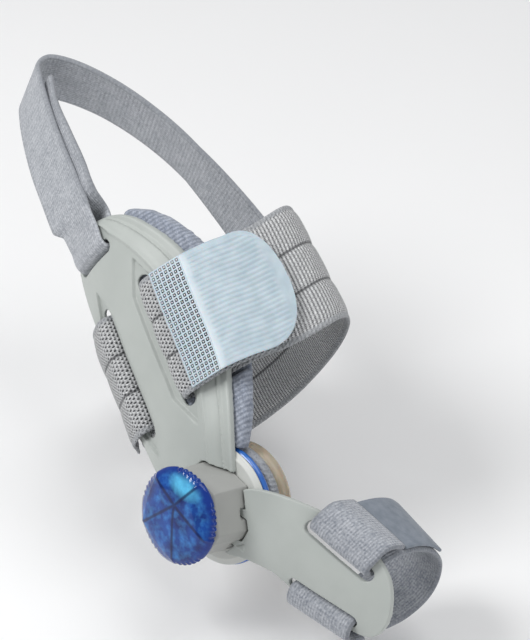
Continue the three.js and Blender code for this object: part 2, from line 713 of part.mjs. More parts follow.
/** A woven band through rows of a centre point, a width direction, a half width and a thickness. */
function bandStations(rows, spacing) {
  const curve = new THREE.CatmullRomCurve3(rows.map((row) => row.at), false, "centripetal");
  const stations = [];
  for (let i = 0; i < rows.length - 1; i += 1) {
    const span = rows[i].at.distanceTo(rows[i + 1].at);
    const count = Math.max(1, Math.round(span / (rows[i].fine ?? spacing)));
    const last = i === rows.length - 2 ? count : count - 1;
    for (let k = 0; k <= last; k += 1) {
      const share = k / count;
      const t = (i + share) / (rows.length - 1);
      const mix = (key) => THREE.MathUtils.lerp(rows[i][key], rows[i + 1][key], share);
      stations.push({
        at: curve.getPoint(t),
        along: curve.getTangent(t),
        width: rows[i].width.clone().lerp(rows[i + 1].width, share).normalize(),
        half: mix("half"),
        thick: mix("thick"),
        hug: mix("hug"),
        wrinkle: mix("wrinkle"),
        face: rows[i].face,
        reach: rows[i].reach,
      });
    }
  }
  return stations;
}

/** One point of a band, across its width and out from its middle, hugging the face that it lies on. */
function bandPoint(station, across, out) {
  const face = station.along.clone().cross(station.width).normalize();
  const point = station.at.clone().addScaledVector(station.width, across * station.half);
  point.addScaledVector(face, out);
  const z = THREE.MathUtils.clamp(station.at.z, ...station.reach);
  const change = station.face(point.x, z + point.z - station.at.z) - station.face(station.at.x, z);
  point.y -= station.hug * change;
  return point;
}

/** A closed band from its stations and a profile of shares across and of the thickness. */
function band(stations, profile) {
  const rings = stations.map((station, i) => {
    const wave = station.wrinkle * (i % 2 ? 1 : -1);
    const upper = profile.map(([across, share]) =>
      bandPoint(station, across, (station.thick / 2) * share + wave * (1 - Math.abs(across) ** 4)));
    const lower = profile.map(([across, share]) => bandPoint(station, -across, (-station.thick / 2) * share));
    return [...upper, ...lower];
  });
  const flat = [
    ...profile.map(([across, share]) => new THREE.Vector2(across, share * 0.1)),
    ...profile.map(([across, share]) => new THREE.Vector2(-across, -share * 0.1)),
  ];
  return loft(rings, flat);
}

/** Stations moved off their line, to lie on top of another band. */
function lifted(stations, lift) {
  return stations.map((station) => {
    const face = station.along.clone().cross(station.width).normalize();
    return { ...station, at: station.at.clone().addScaledVector(face, lift) };
  });
}

const bandRow = (at, width, half, thick, more = {}) =>
  ({ at, width, half, thick, hug: 0, wrinkle: 0, face: shellFace, reach: [-22, 30], ...more });

// Instep strap: a smooth selvedge and three raised bands on either face
const STRAP_THICK = STRAP_TAPE + 2 * STRAP_BAND;
const TAPE_SHARE = STRAP_TAPE / STRAP_THICK;
const STRAP_PROFILE = [
  [-1, TAPE_SHARE], [-0.9, 1], [-0.36, 1], [-0.32, TAPE_SHARE], [-0.28, 1],
  [0.28, 1], [0.32, TAPE_SHARE], [0.36, 1], [0.9, 1], [1, TAPE_SHARE],
];
const STRAP_CENTRE = STRAP_SLOT_CENTRE;
const OVER = GAP + STRAP_THICK / 2;
const UNDER = SHELL_WALL + OVER;
const strapFace = (v) => shellFace(STRAP_CENTRE, v);
const upperBar = UPPER_SLOT_HEIGHT + STRAP_SLOT_WIDTH / 2;
const lowerBar = LOWER_SLOT_HEIGHT - STRAP_SLOT_WIDTH / 2;

// The strap's route, from the shell's upper edge round to its lower edge
const INSTEP_ROUTE = [
  { up: 0.69, side: 0.026, drift: 0.6, hug: 0.8 },
  { up: 0.79, side: 0.079, drift: 1.5, hug: 0.6 },
  { up: 0.9, side: 0.167, drift: 1.5, hug: 0.4 },
  { up: 0.985, side: 0.272, drift: 0.5, hug: 0.2 },
  { up: 1, side: 0.36, drift: -0.6, hug: 0.1 },
  { up: 0.95, side: 0.49, drift: -1.8, hug: 0 },
  { up: 0.76, side: 0.67, drift: -2, hug: 0 },
  { up: 0.44, side: 0.835, drift: -1.5, hug: 0 },
  { up: 0, side: 0.965, drift: -1, hug: 0 },
  { up: -0.36, side: 1, drift: -0.5, hug: 0 },
  { up: -0.75, side: 0.92, drift: 0, hug: 0 },
  { up: -0.99, side: 0.72, drift: 0, hug: 0 },
  { up: -0.995, side: 0.474, drift: 0, hug: 0.1 },
  { up: -0.86, side: 0.27, drift: 0, hug: 0.4 },
  { up: -0.68, side: 0.088, drift: 0, hug: 0.7 },
  { up: -0.51, side: -0.075, drift: 0, hug: 1 },
];

const across = vec(1, 0, 0);
const strapRow = (v, level, hug, more = {}) => bandRow(
  vec(STRAP_CENTRE + (more.drift ?? 0), -level, v), across, STRAP_WIDTH / 2, STRAP_THICK, { hug, ...more });

function routeRow({ up, side, drift, hug }) {
  const v = up * (up > 0 ? INSTEP_RISE : SOLE_DEPTH);
  return strapRow(v, -side * FOOT_SIDE, hug, { drift });
}

/** Rows round the edge of a bar: a half turn from one side of the shell to the other. */
function turnRows(v, bulge, start, end) {
  const middle = strapFace(v) - SHELL_WALL / 2;
  const radius = SHELL_WALL / 2 + OVER + 0.2;
  const rows = [];
  for (let i = 0; i <= 4; i += 1) {
    const angle = THREE.MathUtils.lerp(start, end, i / 4);
    const [out, level] = [radius * Math.cos(angle), middle + radius * Math.sin(angle)];
    rows.push(strapRow(v + bulge * out, level, 1, { fine: 2 }));
  }
  return rows;
}

const mainStrapRows = () => [
  strapRow(20.5, shellInside(STRAP_CENTRE, 20.5) - OVER - 0.55, 1),
  strapRow(highEdge(STRAP_CENTRE), shellInside(STRAP_CENTRE, highEdge(STRAP_CENTRE)) - OVER - 0.35, 1),
  ...INSTEP_ROUTE.map(routeRow),
  strapRow(lowEdge(STRAP_CENTRE) + 1, strapFace(lowEdge(STRAP_CENTRE) + 1) - UNDER - 0.2, 1),
];

const outerRows = () => [
  strapRow(18, strapFace(18) + OVER + 0.3, 1),
  strapRow(23, strapFace(23) + OVER + 0.2, 1),
  strapRow(28.5, strapFace(28.5) + OVER + 0.2, 1),
  strapRow(0.705 * INSTEP_RISE, 3.9, 0.8, { drift: 0.6 }),
  strapRow(0.79 * INSTEP_RISE, 0, 0.62, { drift: 1.4, thick: STRAP_THICK * 0.8 }),
];

function instepStrap() {
  const half = Math.PI / 2;
  const loopEnd = [
    strapRow(-0.655 * SOLE_DEPTH, 1.8, 0.75),
    strapRow(-0.575 * SOLE_DEPTH, 5.5, 0.9),
    strapRow(-0.515 * SOLE_DEPTH, 8.7, 1),
    strapRow(lowEdge(STRAP_CENTRE) - 0.9, strapFace(lowEdge(STRAP_CENTRE)) + 1.4, 1),
    strapRow(lowEdge(STRAP_CENTRE) + 1.8, strapFace(lowEdge(STRAP_CENTRE) + 1.8) + OVER + 0.2, 1),
  ];
  const rows = [
    ...loopEnd,
    ...turnRows(lowerBar, 1, half, -half),
    ...mainStrapRows().reverse(),
    ...turnRows(upperBar, -1, -half, half),
    ...outerRows(),
    strapRow(0.825 * INSTEP_RISE, -1.7, 0.55, { drift: 1.5, thick: STRAP_THICK * 0.4 }),
  ];
  return band(bandStations(rows, 10), STRAP_PROFILE);
}

// Hook tab: a net of square holes, then a plain tongue with a round end

const TAB_OVER = STRAP_THICK / 2 + GAP + TAB_THICKNESS / 2;

function tabCurve() {
  const rows = [
    strapRow(13.2, strapFace(13.2) + OVER + 0.25, 1),
    ...outerRows(),
    strapRow(0.925 * INSTEP_RISE, -7.6, 0.38, { drift: 1.3 }),
    strapRow(1.005 * INSTEP_RISE, -15, 0.22, { drift: 0.4 }),
    strapRow(1.01 * INSTEP_RISE, -20.5, 0.1, { drift: -0.6 }),
  ];
  return lifted(bandStations(rows, 1), -TAB_OVER - 0.1);
}

function stationAt(stations, distance) {
  let walked = 0;
  for (let i = 1; i < stations.length; i += 1) {
    const step = stations[i].at.distanceTo(stations[i - 1].at);
    if (walked + step >= distance) {
      const share = (distance - walked) / step;
      const [a, b] = [stations[i - 1], stations[i]];
      return {
        at: a.at.clone().lerp(b.at, share),
        along: a.along.clone().lerp(b.along, share).normalize(),
        width: a.width,
        half: TAB_WIDTH / 2,
        hug: THREE.MathUtils.lerp(a.hug, b.hug, share),
        face: a.face,
        reach: a.reach,
      };
    }
    walked += step;
  }
  return { ...stations[stations.length - 1], half: TAB_WIDTH / 2 };
}

/** Lines of the net: threads and holes in turn, with a thread at both ends. */
function netLines(length, holes) {
  const pitch = (length - TAB_NET_THREAD) / holes;
  const lines = [0];
  for (let i = 0; i < holes; i += 1) lines.push(i * pitch + TAB_NET_THREAD, (i + 1) * pitch);
  lines.push(length);
  return lines;
}

function instepStrapTab() {
  const stations = tabCurve();
  const positions = [];
  const index = [];
  const rowsAcross = netLines(TAB_WIDTH, TAB_NET_ROWS).map((w) => (2 * w) / TAB_WIDTH - 1);
  const netAlong = netLines(TAB_NET_LENGTH, TAB_NET_COLUMNS);
  const coarse = rowsAcross.filter((_, j) => j % 6 === 0 || j === rowsAcross.length - 1);
  const addLine = (distance, shares, narrow) => {
    const station = stationAt(stations, distance);
    const first = positions.length / 3;
    for (const share of shares) {
      for (const side of [0.5, -0.5]) {
        const p = bandPoint(station, share * narrow, TAB_THICKNESS * side);
        positions.push(p.x, p.y, p.z);
      }
    }
    return { first, count: shares.length };
  };
  const top = (line, j) => line.first + 2 * j;
  const quad = (a, b, c, d) => index.push(a, b, c, a, c, d);
  const wall = (a, b, c, d) => quad(a, b, d, c);
  const lines = netAlong.map((distance) => addLine(distance, rowsAcross, 1));
  for (let i = 0; i < lines.length - 1; i += 1) {
    for (let j = 0; j < rowsAcross.length - 1; j += 1) {
      const [a, b] = [top(lines[i], j), top(lines[i], j + 1)];
      const [c, d] = [top(lines[i + 1], j), top(lines[i + 1], j + 1)];
      if (i % 2 === 1 && j % 2 === 1) {
        wall(a, b, a + 1, b + 1);
        wall(d, c, d + 1, c + 1);
        wall(c, a, c + 1, a + 1);
        wall(b, d, b + 1, d + 1);
      } else {
        quad(a, b, d, c);
        quad(a + 1, c + 1, d + 1, b + 1);
      }
    }
  }
  const tongue = [TAB_NET_LENGTH + 3];
  const body = TAB_LENGTH - TAB_ROUNDING;
  for (let i = 1; i <= 3; i += 1) tongue.push(THREE.MathUtils.lerp(TAB_NET_LENGTH + 3, body, i / 3));
  for (let i = 1; i <= 6; i += 1) tongue.push(body + TAB_ROUNDING * Math.sin((Math.PI / 2) * (i / 6.25)));
  const narrowAt = (distance) => {
    const t = Math.max(0, distance - body) / TAB_ROUNDING;
    return Math.pow(1 - Math.pow(t, 2.3), 1 / 2.3);
  };
  const plain = tongue.map((distance) => addLine(distance, coarse, narrowAt(distance)));
  const netEnd = lines[lines.length - 1];
  const match = rowsAcross.map((share) => coarse.reduce((best, other, k) =>
    (Math.abs(other - share) < Math.abs(coarse[best] - share) ? k : best), 0));
  for (let j = 0; j < rowsAcross.length - 1; j += 1) {
    const [a, b] = [top(netEnd, j), top(netEnd, j + 1)];
    const [c, d] = [top(plain[0], match[j]), top(plain[0], match[j + 1])];
    index.push(a, b, d, a + 1, d + 1, b + 1);
    if (c !== d) index.push(a, d, c, a + 1, c + 1, d + 1);
  }
  for (let i = 0; i < plain.length - 1; i += 1) {
    for (let j = 0; j < coarse.length - 1; j += 1) {
      const [a, b] = [top(plain[i], j), top(plain[i], j + 1)];
      const [c, d] = [top(plain[i + 1], j), top(plain[i + 1], j + 1)];
      quad(a, b, d, c);
      quad(a + 1, c + 1, d + 1, b + 1);
    }
  }
  const all = [...lines, ...plain];
  for (let i = 0; i < all.length - 1; i += 1) {
    const [a, b] = [top(all[i], 0), top(all[i + 1], 0)];
    wall(a, b, a + 1, b + 1);
    const [c, d] = [top(all[i], all[i].count - 1), top(all[i + 1], all[i + 1].count - 1)];
    wall(d, c, d + 1, c + 1);
  }
  for (let j = 0; j < rowsAcross.length - 1; j += 1) {
    const [a, b] = [top(lines[0], j), top(lines[0], j + 1)];
    wall(b, a, b + 1, a + 1);
  }
  const end = plain[plain.length - 1];
  for (let j = 0; j < coarse.length - 1; j += 1) {
    const [a, b] = [top(end, j), top(end, j + 1)];
    wall(a, b, a + 1, b + 1);
  }
  const geometry = new THREE.BufferGeometry();
  geometry.setAttribute("position", new THREE.Float32BufferAttribute(positions, 3));
  geometry.setIndex(index);
  return outwards(geometry);
}

// Heel strap: out of the heel slot, round behind the shell and forward to the instep strap

const HEEL_PROFILE = [[-1, 0.45], [-0.9, 1], [0, 1], [0.9, 1], [1, 0.45]];
const HEEL_OVER = GAP + HEEL_STRAP_THICKNESS / 2 + 0.3;
const heelBar = HEEL_SLOT_PLACE - HEEL_SLOT_WIDTH / 2;
const heelFace = (u) => shellFace(u, HEEL_SLOT_HEIGHT);

// The route behind the shell, from the slot, as shares of the reach, width and rise
const HEEL_ROUTE = [
  { back: 0.24, side: 0.045, rise: 0.3, tip: 0.42, out: 0.25 },
  { back: 0.4, side: 0.1, rise: 0.47, tip: 0.36, out: 0.24 },
  { back: 0.57, side: 0.165, rise: 0.63, tip: 0.33, out: 0.22 },
  { back: 0.74, side: 0.245, rise: 0.79, tip: 0.31, out: 0.18 },
  { back: 0.89, side: 0.33, rise: 0.93, tip: 0.3, out: 0.12, fine: 6 },
  { back: 0.975, side: 0.4, rise: 0.985, tip: 0.3, out: 0.07, fine: 6 },
  { back: 0.99, side: 0.49, rise: 1, tip: 0.31, out: 0.02, fine: 6 },
  { back: 0.93, side: 0.59, rise: 0.95, tip: 0.33, out: -0.04, fine: 7 },
  { back: 0.76, side: 0.73, rise: 0.79, tip: 0.36, out: -0.1 },
  { back: 0.52, side: 0.86, rise: 0.52, tip: 0.38, out: -0.14 },
  { back: 0.24, side: 0.955, rise: 0.16, tip: 0.4, out: -0.16 },
];
const HEEL_INNER_ROUTE = [
  { back: 0.86, side: 0.37, rise: 0.955, tip: 0.31, out: 0.16 },
  { back: 0.72, side: 0.28, rise: 0.84, tip: 0.31, out: 0.19 },
  { back: 0.54, side: 0.205, rise: 0.72, tip: 0.33, out: 0.22 },
  { back: 0.36, side: 0.14, rise: 0.57, tip: 0.36, out: 0.24 },
  { back: 0.22, side: 0.09, rise: 0.4, tip: 0.42, out: 0.25 },
];

corrector.updateMatrixWorld(true);
const toShellMatrix = shellFrame.matrixWorld.clone().invert();

function heelRow({ back, side, rise, tip, out, fine }) {
  const start = vec(HEEL_SLOT_PLACE, -heelFace(HEEL_SLOT_PLACE), HEEL_SLOT_HEIGHT);
  start.applyMatrix4(shellFrame.matrixWorld);
  const at = vec(start.x - back * HEEL_REACH, start.y + side * ANKLE_WIDTH, start.z + rise * HEEL_RISE);
  const width = vec(tip, out, 0.9).normalize().transformDirection(toShellMatrix);
  return bandRow(at.applyMatrix4(toShellMatrix), width, HEEL_STRAP_SPREAD / 2, HEEL_STRAP_THICKNESS, { fine });
}

/** Level of the instep strap's outer face on its far side. */
const strapSide = throughRows(INSTEP_ROUTE.filter((row) => row.side > 0.45).reverse(), "up", "side");
const strapOutside = (u, v) =>
  -(strapSide(v / (v > 0 ? INSTEP_RISE : SOLE_DEPTH)) * FOOT_SIDE + STRAP_THICK / 2);

function heelStrap() {
  const slotRow = (u, level, more = {}) => bandRow(
    vec(u, -level, HEEL_SLOT_HEIGHT), vec(0, 0, 1), HEEL_STRAP_WIDTH / 2, HEEL_STRAP_THICKNESS,
    { hug: 1, ...more });
  const radius = SHELL_WALL / 2 + HEEL_OVER;
  const turn = [];
  for (let i = 0; i <= 4; i += 1) {
    const angle = -Math.PI / 2 + (Math.PI * i) / 4;
    const middle = heelFace(heelBar) - SHELL_WALL / 2;
    turn.push(slotRow(heelBar + radius * Math.cos(angle), middle + radius * Math.sin(angle), { fine: 2 }));
  }
  const rear = SHELL_FRONT - SHELL_LENGTH;
  const landing = [
    { place: -0.64, v: 4, lift: 1.2, hug: 0.7 },
    { place: -0.4, v: 3.5, lift: 0.4, hug: 1 },
    { place: -0.1, v: 2.5, lift: 0.4, hug: 1 },
    { place: 0.2, v: 1, lift: 0.4, hug: 1 },
  ].map(({ place, v, lift, hug }) => bandRow(
    vec(STRAP_CENTRE + place * STRAP_WIDTH, -strapOutside(0, v) + HEEL_OVER + lift, v), vec(0.03, 0, 1),
    HEEL_STRAP_SPREAD / 2, HEEL_STRAP_THICKNESS, { hug, face: strapOutside, reach: [-60, 60] }));
  const rows = [
    ...HEEL_INNER_ROUTE.map(heelRow),
    slotRow(rear - 2, heelFace(rear) - SHELL_WALL - HEEL_OVER - 2.3, { hug: 0.9 }),
    slotRow(rear + 4, heelFace(rear + 4) - SHELL_WALL - HEEL_OVER - 0.5),
    ...turn,
    slotRow(rear + 3.5, heelFace(rear + 3.5) + HEEL_OVER, { wrinkle: HEEL_WRINKLE, fine: 1.3 }),
    slotRow(rear - 3, heelFace(rear - 3) + HEEL_OVER + 0.2, { hug: 0.85, wrinkle: HEEL_WRINKLE * 0.5 }),
    ...HEEL_ROUTE.map((row) => ({ ...heelRow(row), face: strapOutside, reach: [-60, 60] })),
    ...landing,
  ];
  return band(bandStations(rows, 11), HEEL_PROFILE);
}

// Toe strap: a sewn loop in the lower slot, then round below and out of the upper slot

const TOE_PROFILE = [[-1, 0.45], [-0.92, 1], [0, 1], [0.92, 1], [1, 0.45]];
const TOE_OVER = GAP + TOE_STRAP_THICKNESS / 2 + 0.2;
const slotMiddle = (slot) => ({
  x: (slot.rear + slot.front) / 2,
  z: (slot.rearHeight + slot.frontHeight) / 2,
});
const upperToe = slotMiddle(TOE_SLOTS.upper);
const lowerToe = slotMiddle(TOE_SLOTS.lower);
const upperToeWidth = vec(0.958, 0, -0.287);
const lowerToeWidth = vec(0.993, 0, -0.121);

// The toe strap's route, from the upper slot round to the lower slot
const TOE_ROUTE = [
  { x: 48, side: -0.15, up: 0.96, dip: -0.287, hug: 1 },
  { x: 48.4, side: 0, up: 1.03, dip: -0.25, hug: 0.7 },
  { x: 48.6, side: 0.13, up: 1.04, dip: -0.22, hug: 0.5 },
  { x: 48.7, side: 0.38, up: 1.02, dip: -0.22, hug: 0.1 },
  { x: 48.8, side: 0.62, up: 0.91, dip: -0.22, hug: 0 },
  { x: 48.9, side: 0.81, up: 0.71, dip: -0.21, hug: 0 },
  { x: 48.9, side: 0.95, up: 0.38, dip: -0.18, hug: 0 },
  { x: 48.8, side: 1, up: -0.05, dip: -0.15, hug: 0 },
  { x: 48.6, side: 0.93, up: -0.48, dip: -0.13, hug: 0 },
  { x: 48.3, side: 0.7, up: -0.84, dip: -0.12, hug: 0 },
  { x: 48, side: 0.38, up: -1, dip: -0.12, hug: 0.1 },
  { x: 47.6, side: 0.06, up: -1, dip: -0.12, hug: 0.5 },
  { x: 47.2, side: -0.14, up: -0.93, dip: -0.12, hug: 0.9 },
];

const toeRow = (x, level, z, width, more = {}) => bandRow(
  vec(x, -level, z), width, TOE_STRAP_WIDTH / 2, TOE_STRAP_THICKNESS,
  { hug: 1, face: toeFace, reach: [-12, 16], ...more });

const toeRouteRow = ({ x, side, up, dip, hug }) => toeRow(
  x, -side * TOE_REACH, up * (up > 0 ? TOE_RISE : TOE_DEPTH), vec(0.96, 0, dip), { hug });

function toeTurn(middle, sign, start, end, width) {
  const slotWidth = sign > 0 ? TOE_SLOT_WIDTH : TOE_LOWER_SLOT_WIDTH;
  const z = middle.z + (sign * slotWidth) / 2;
  const level = toeFace(middle.x, z) - TOE_WALL / 2;
  const radius = TOE_WALL / 2 + TOE_OVER;
  const rows = [];
  for (let i = 0; i <= 4; i += 1) {
    const angle = THREE.MathUtils.lerp(start, end, i / 4);
    const [out, rise] = [radius * Math.cos(angle), radius * Math.sin(angle)];
    rows.push(toeRow(middle.x + 0.3, level + rise, z - sign * out, width, { fine: 2 }));
  }
  return rows;
}

function toeStrap() {
  const half = Math.PI / 2;
  const edge = TOE_WIDTH * toeHigh(toeAlong(upperToe.x));
  const wrinkle = { wrinkle: TOE_WRINKLE, fine: 1.2 };
  const rows = [
    toeRow(47.4, 1.5, -1.16 * TOE_DEPTH, lowerToeWidth),
    toeRow(47.2, 6, -1.17 * TOE_DEPTH, lowerToeWidth),
    toeRow(47, 9.6, -1.06 * TOE_DEPTH, lowerToeWidth, wrinkle),
    ...toeTurn(lowerToe, -1, half, -half, lowerToeWidth),
    ...TOE_ROUTE.map(toeRouteRow).reverse(),
    ...toeTurn(upperToe, 1, -half, half, upperToeWidth),
    toeRow(upperToe.x + 1.2, toeFace(upperToe.x, edge) + TOE_OVER + 0.8, edge - 0.5, upperToeWidth, wrinkle),
    toeRow(48.5, 6.6, edge + 3, vec(0.95, 0, -0.25), { hug: 0.8 }),
    toeRow(48.7, 1.6, 1.25 * TOE_RISE, vec(0.97, 0, -0.22), { hug: 0.6 }),
    toeRow(48.7, -2.4, 1.2 * TOE_RISE, vec(0.97, 0, -0.22), { hug: 0.5 }),
  ];
  return band(bandStations(rows, 6), TOE_PROFILE);
}

function toeStrapTab() {
  const lift = TOE_STRAP_THICKNESS / 2 + GAP + TOE_TAB_THICKNESS / 2 + 0.1;
  const rows = TOE_ROUTE.filter((row) => row.up > 0.6 && row.side > 0.1).map(toeRouteRow);
  const stations = lifted(bandStations(rows, 4), -lift);
  for (const station of stations) {
    Object.assign(station, { half: TOE_STRAP_WIDTH / 2 - 0.4, thick: TOE_TAB_THICKNESS });
  }
  return band(stations, [[-1, 0.6], [-0.95, 1], [0.95, 1], [1, 0.6]]);
}

part("main_shell", mainShell(), shellPlastic, shellFrame);
part("shell_lining", shellLining(), foamKnit, shellFrame);
part("gear_housing", gearHousing(), housingPlastic, splint);
part("hinge_pin", hingePin(), pinSteel, splint);
part("adjusting_knob", adjustingKnob(), knobPlastic, splint);
part("toe_splint", toeSplint(), shellPlastic, splint);
part("gel_pad", gelPad(), gel, splint);
part("fabric_pad", fabricPad(), knit, splint);
part("blue_ring", blueRing(), ringPlastic, splint);
part("joint_disc", jointDisc(), housingPlastic, splint);
part("instep_strap", instepStrap(), elastic, shellFrame);
part("instep_strap_tab", instepStrapTab(), hookPlastic, shellFrame);
part("heel_strap", heelStrap(), knit, shellFrame);
part("toe_strap", toeStrap(), knit, splint);
part("toe_strap_tab", toeStrapTab(), greyHook, splint);

export default corrector;
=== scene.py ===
# %% [markdown]
# # A bunion corrector, built in Blender
# The object is a small medical splint: a long shell and a toe plate joined by a hinged housing with a blue
# knob, a stack of round pads under it, and three straps. This lesson builds every visible piece over the
# CAD model, which is the fixed frame: each piece goes where the CAD says.

# %% Load the CAD model
import math
import bmesh
import bpy
from mathutils import Matrix, Vector


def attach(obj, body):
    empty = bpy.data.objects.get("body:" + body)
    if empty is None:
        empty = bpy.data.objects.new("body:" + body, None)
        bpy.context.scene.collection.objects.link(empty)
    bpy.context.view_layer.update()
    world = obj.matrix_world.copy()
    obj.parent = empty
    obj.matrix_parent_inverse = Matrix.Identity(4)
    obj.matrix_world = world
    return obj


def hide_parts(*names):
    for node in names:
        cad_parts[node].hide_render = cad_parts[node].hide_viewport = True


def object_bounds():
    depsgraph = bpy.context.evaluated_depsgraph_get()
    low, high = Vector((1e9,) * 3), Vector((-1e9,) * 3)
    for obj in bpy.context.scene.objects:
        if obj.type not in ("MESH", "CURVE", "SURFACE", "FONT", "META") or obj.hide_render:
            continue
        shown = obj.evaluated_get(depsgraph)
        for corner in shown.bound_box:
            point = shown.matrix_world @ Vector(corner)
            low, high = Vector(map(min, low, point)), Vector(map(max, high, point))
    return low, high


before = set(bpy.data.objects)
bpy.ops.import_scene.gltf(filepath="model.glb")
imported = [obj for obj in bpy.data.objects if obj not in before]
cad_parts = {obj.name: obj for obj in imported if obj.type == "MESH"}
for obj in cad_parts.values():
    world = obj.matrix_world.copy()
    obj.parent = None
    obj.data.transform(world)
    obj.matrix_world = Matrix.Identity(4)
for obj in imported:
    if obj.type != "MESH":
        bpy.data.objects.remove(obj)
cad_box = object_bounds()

scene = bpy.context.scene
print("CAD box in mm:", [tuple(round(c * 1000, 1) for c in corner) for corner in cad_box])

# %% [markdown]
# ## Camera
# The picture looks down on the splint from its right front, through a long lens. The camera is given by its
# place and its three directions: right, up and back.

# %% Camera
camera = bpy.data.objects.new("camera", bpy.data.cameras.new("camera"))
scene.collection.objects.link(camera)
right = Vector((0.68775, 0.72386, 0.05497))
up = Vector((-0.47681, 0.39333, 0.78609))
back = Vector((0.54740, -0.56685, 0.61566))
place = Vector((0.48699, -0.50353, 0.62116))
camera.matrix_world = Matrix.Translation(place) @ Matrix((right, up, back)).transposed().to_4x4()
camera.data.sensor_fit = "VERTICAL"
camera.data.sensor_height = 36
camera.data.lens = 160.3
camera.data.clip_start = 0.05
scene.camera = camera
print("camera is", round(place.length * 1000), "mm from the middle of the pads")

# %% [markdown]
# ## Floor and light
# A product shot of a pale object wants a pale floor and soft light from all round, with one larger lamp at
# the upper left that gives the plastic its highlights. The Standard view transform shows the finishes' own
# colours without a film curve. The floor is only the stage.

# %% Floor and lights
scene.view_settings.view_transform = "Standard"

def lamp(name, spot, size, watts, aim=(-0.02, 0.0, 0.0)):
    light = bpy.data.lights.new(name, "AREA")
    light.size = size
    light.energy = watts
    holder = bpy.data.objects.new(name, light)
    holder.location = spot
    holder.rotation_euler = (Vector(aim) - Vector(spot)).to_track_quat("-Z", "Y").to_euler()
    scene.collection.objects.link(holder)

lamp("key", (-0.35, -0.55, 0.75), 0.4, 5.6)
lamp("fill", (0.7, 0.1, 0.45), 0.5, 1.4)
lamp("top", (0.0, 0.25, 0.8), 0.5, 2.0)

world = bpy.data.worlds.new("studio")
scene.world = world
world.use_nodes = True
world.node_tree.nodes["Background"].inputs["Color"].default_value = (0.97, 0.98, 1.0, 1)
world.node_tree.nodes["Background"].inputs["Strength"].default_value = 0.4

floor_mesh = bmesh.new()
bmesh.ops.create_grid(floor_mesh, x_segments=1, y_segments=1, size=4.0)
bmesh.ops.translate(floor_mesh, verts=floor_mesh.verts, vec=(0, 0, cad_box[0].z - 0.0005))
floor = bpy.data.objects.new("floor", bpy.data.meshes.new("floor"))
floor_mesh.to_mesh(floor.data)
floor_mesh.free()
scene.collection.objects.link(floor)

# %% [markdown]
# ## The two working frames
# The splint leans 18 degrees, and the shell is pitched another 31.3 degrees in it. Pieces are worked out in
# millimetres in one of these frames, where they are simple: a shell point is its place along the shell, how
# high it stands over the pads' base, and its place across. One function turns that into the world's metres.

# %% Frames
LEAN = math.radians(18)
PITCH = math.radians(31.3)
from_splint = Matrix.Scale(0.001, 4) @ Matrix.Rotation(-LEAN, 4, "X")
from_shell = from_splint @ Matrix.Rotation(PITCH, 4, "Y")
to_shell = from_shell.inverted()

def through(rows, column, start=0):
    """A smooth function through the rows of a table, from its first column to another."""
    xs = [row[start] for row in rows]
    ys = [row[column] for row in rows]
    last = len(xs) - 1
    slopes = []
    for i in range(last + 1):
        a, b = max(i - 1, 0), min(i + 1, last)
        slopes.append((ys[b] - ys[a]) / (xs[b] - xs[a]))

    def value(x):
        x = min(max(x, xs[0]), xs[last])
        i = 0
        while i < last - 1 and x > xs[i + 1]:
            i += 1
        step = xs[i + 1] - xs[i]
        t = (x - xs[i]) / step
        a = 2 * t ** 3 - 3 * t ** 2 + 1
        b = t ** 3 - 2 * t ** 2 + t
        c = t ** 3 - t ** 2
        return a * ys[i] + b * step * slopes[i] + (1 - a) * ys[i + 1] + c * step * slopes[i + 1]
    return value

def soft_step(x, low, high):
    t = min(max((x - low) / (high - low), 0), 1)
    return t * t * (3 - 2 * t)

# %% [markdown]
# ## Small tools for every piece
# A piece starts as a bmesh in one of the frames, is moved to the world, and becomes an object that rides on
# one body of the mechanism. Hard pieces are remeshed into small even faces, so that every edge comes out
# softly rounded as moulded plastic is, and pieces that overlap grow together.

# %% Tools
def finish_piece(shape, name, body, node=None, matrix=from_splint):
    """Turns a bmesh into an object that rides on a body and may stand for a CAD node."""
    bmesh.ops.transform(shape, matrix=matrix, verts=shape.verts)
    bmesh.ops.recalc_face_normals(shape, faces=shape.faces)
    for face in shape.faces:
        face.smooth = True
    piece = bpy.data.objects.new(name, bpy.data.meshes.new(name))
    shape.to_mesh(piece.data)
    shape.free()
    scene.collection.objects.link(piece)
    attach(piece, body)
    if node:
        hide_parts(node)
    return piece

def modifier(piece, kind, **settings):
    made = piece.modifiers.new(kind.lower(), kind)
    for key, setting in settings.items():
        setattr(made, key, setting)
    return made

def bake(piece):
    """Applies the modifiers, so that what was built is what is kept."""
    graph = bpy.context.evaluated_depsgraph_get()
    done = bpy.data.meshes.new_from_object(piece.evaluated_get(graph))
    piece.modifiers.clear()
    piece.data = done
    for face in done.polygons:
        face.use_smooth = True

def round_off(piece, voxel, passes=4):
    """Remeshes a piece into small even faces, which rounds its edges and joins what overlaps."""
    modifier(piece, "REMESH", mode="VOXEL", voxel_size=voxel / 1000)
    modifier(piece, "SMOOTH", factor=0.5, iterations=passes)
    bake(piece)
    print(piece.name, "has", len(piece.data.polygons), "faces")

def largest_part(shape):
    """Deletes all but the largest connected part."""
    left, best = set(shape.verts), []
    while left:
        front, part = [left.pop()], []
        while front:
            vert = front.pop()
            part.append(vert)
            for edge in vert.link_edges:
                other = edge.other_vert(vert)
                if other in left:
                    left.remove(other)
                    front.append(other)
        best = max(best, part, key=len)
    keep = set(best)
    bmesh.ops.delete(shape, geom=[v for v in shape.verts if v not in keep], context="VERTS")

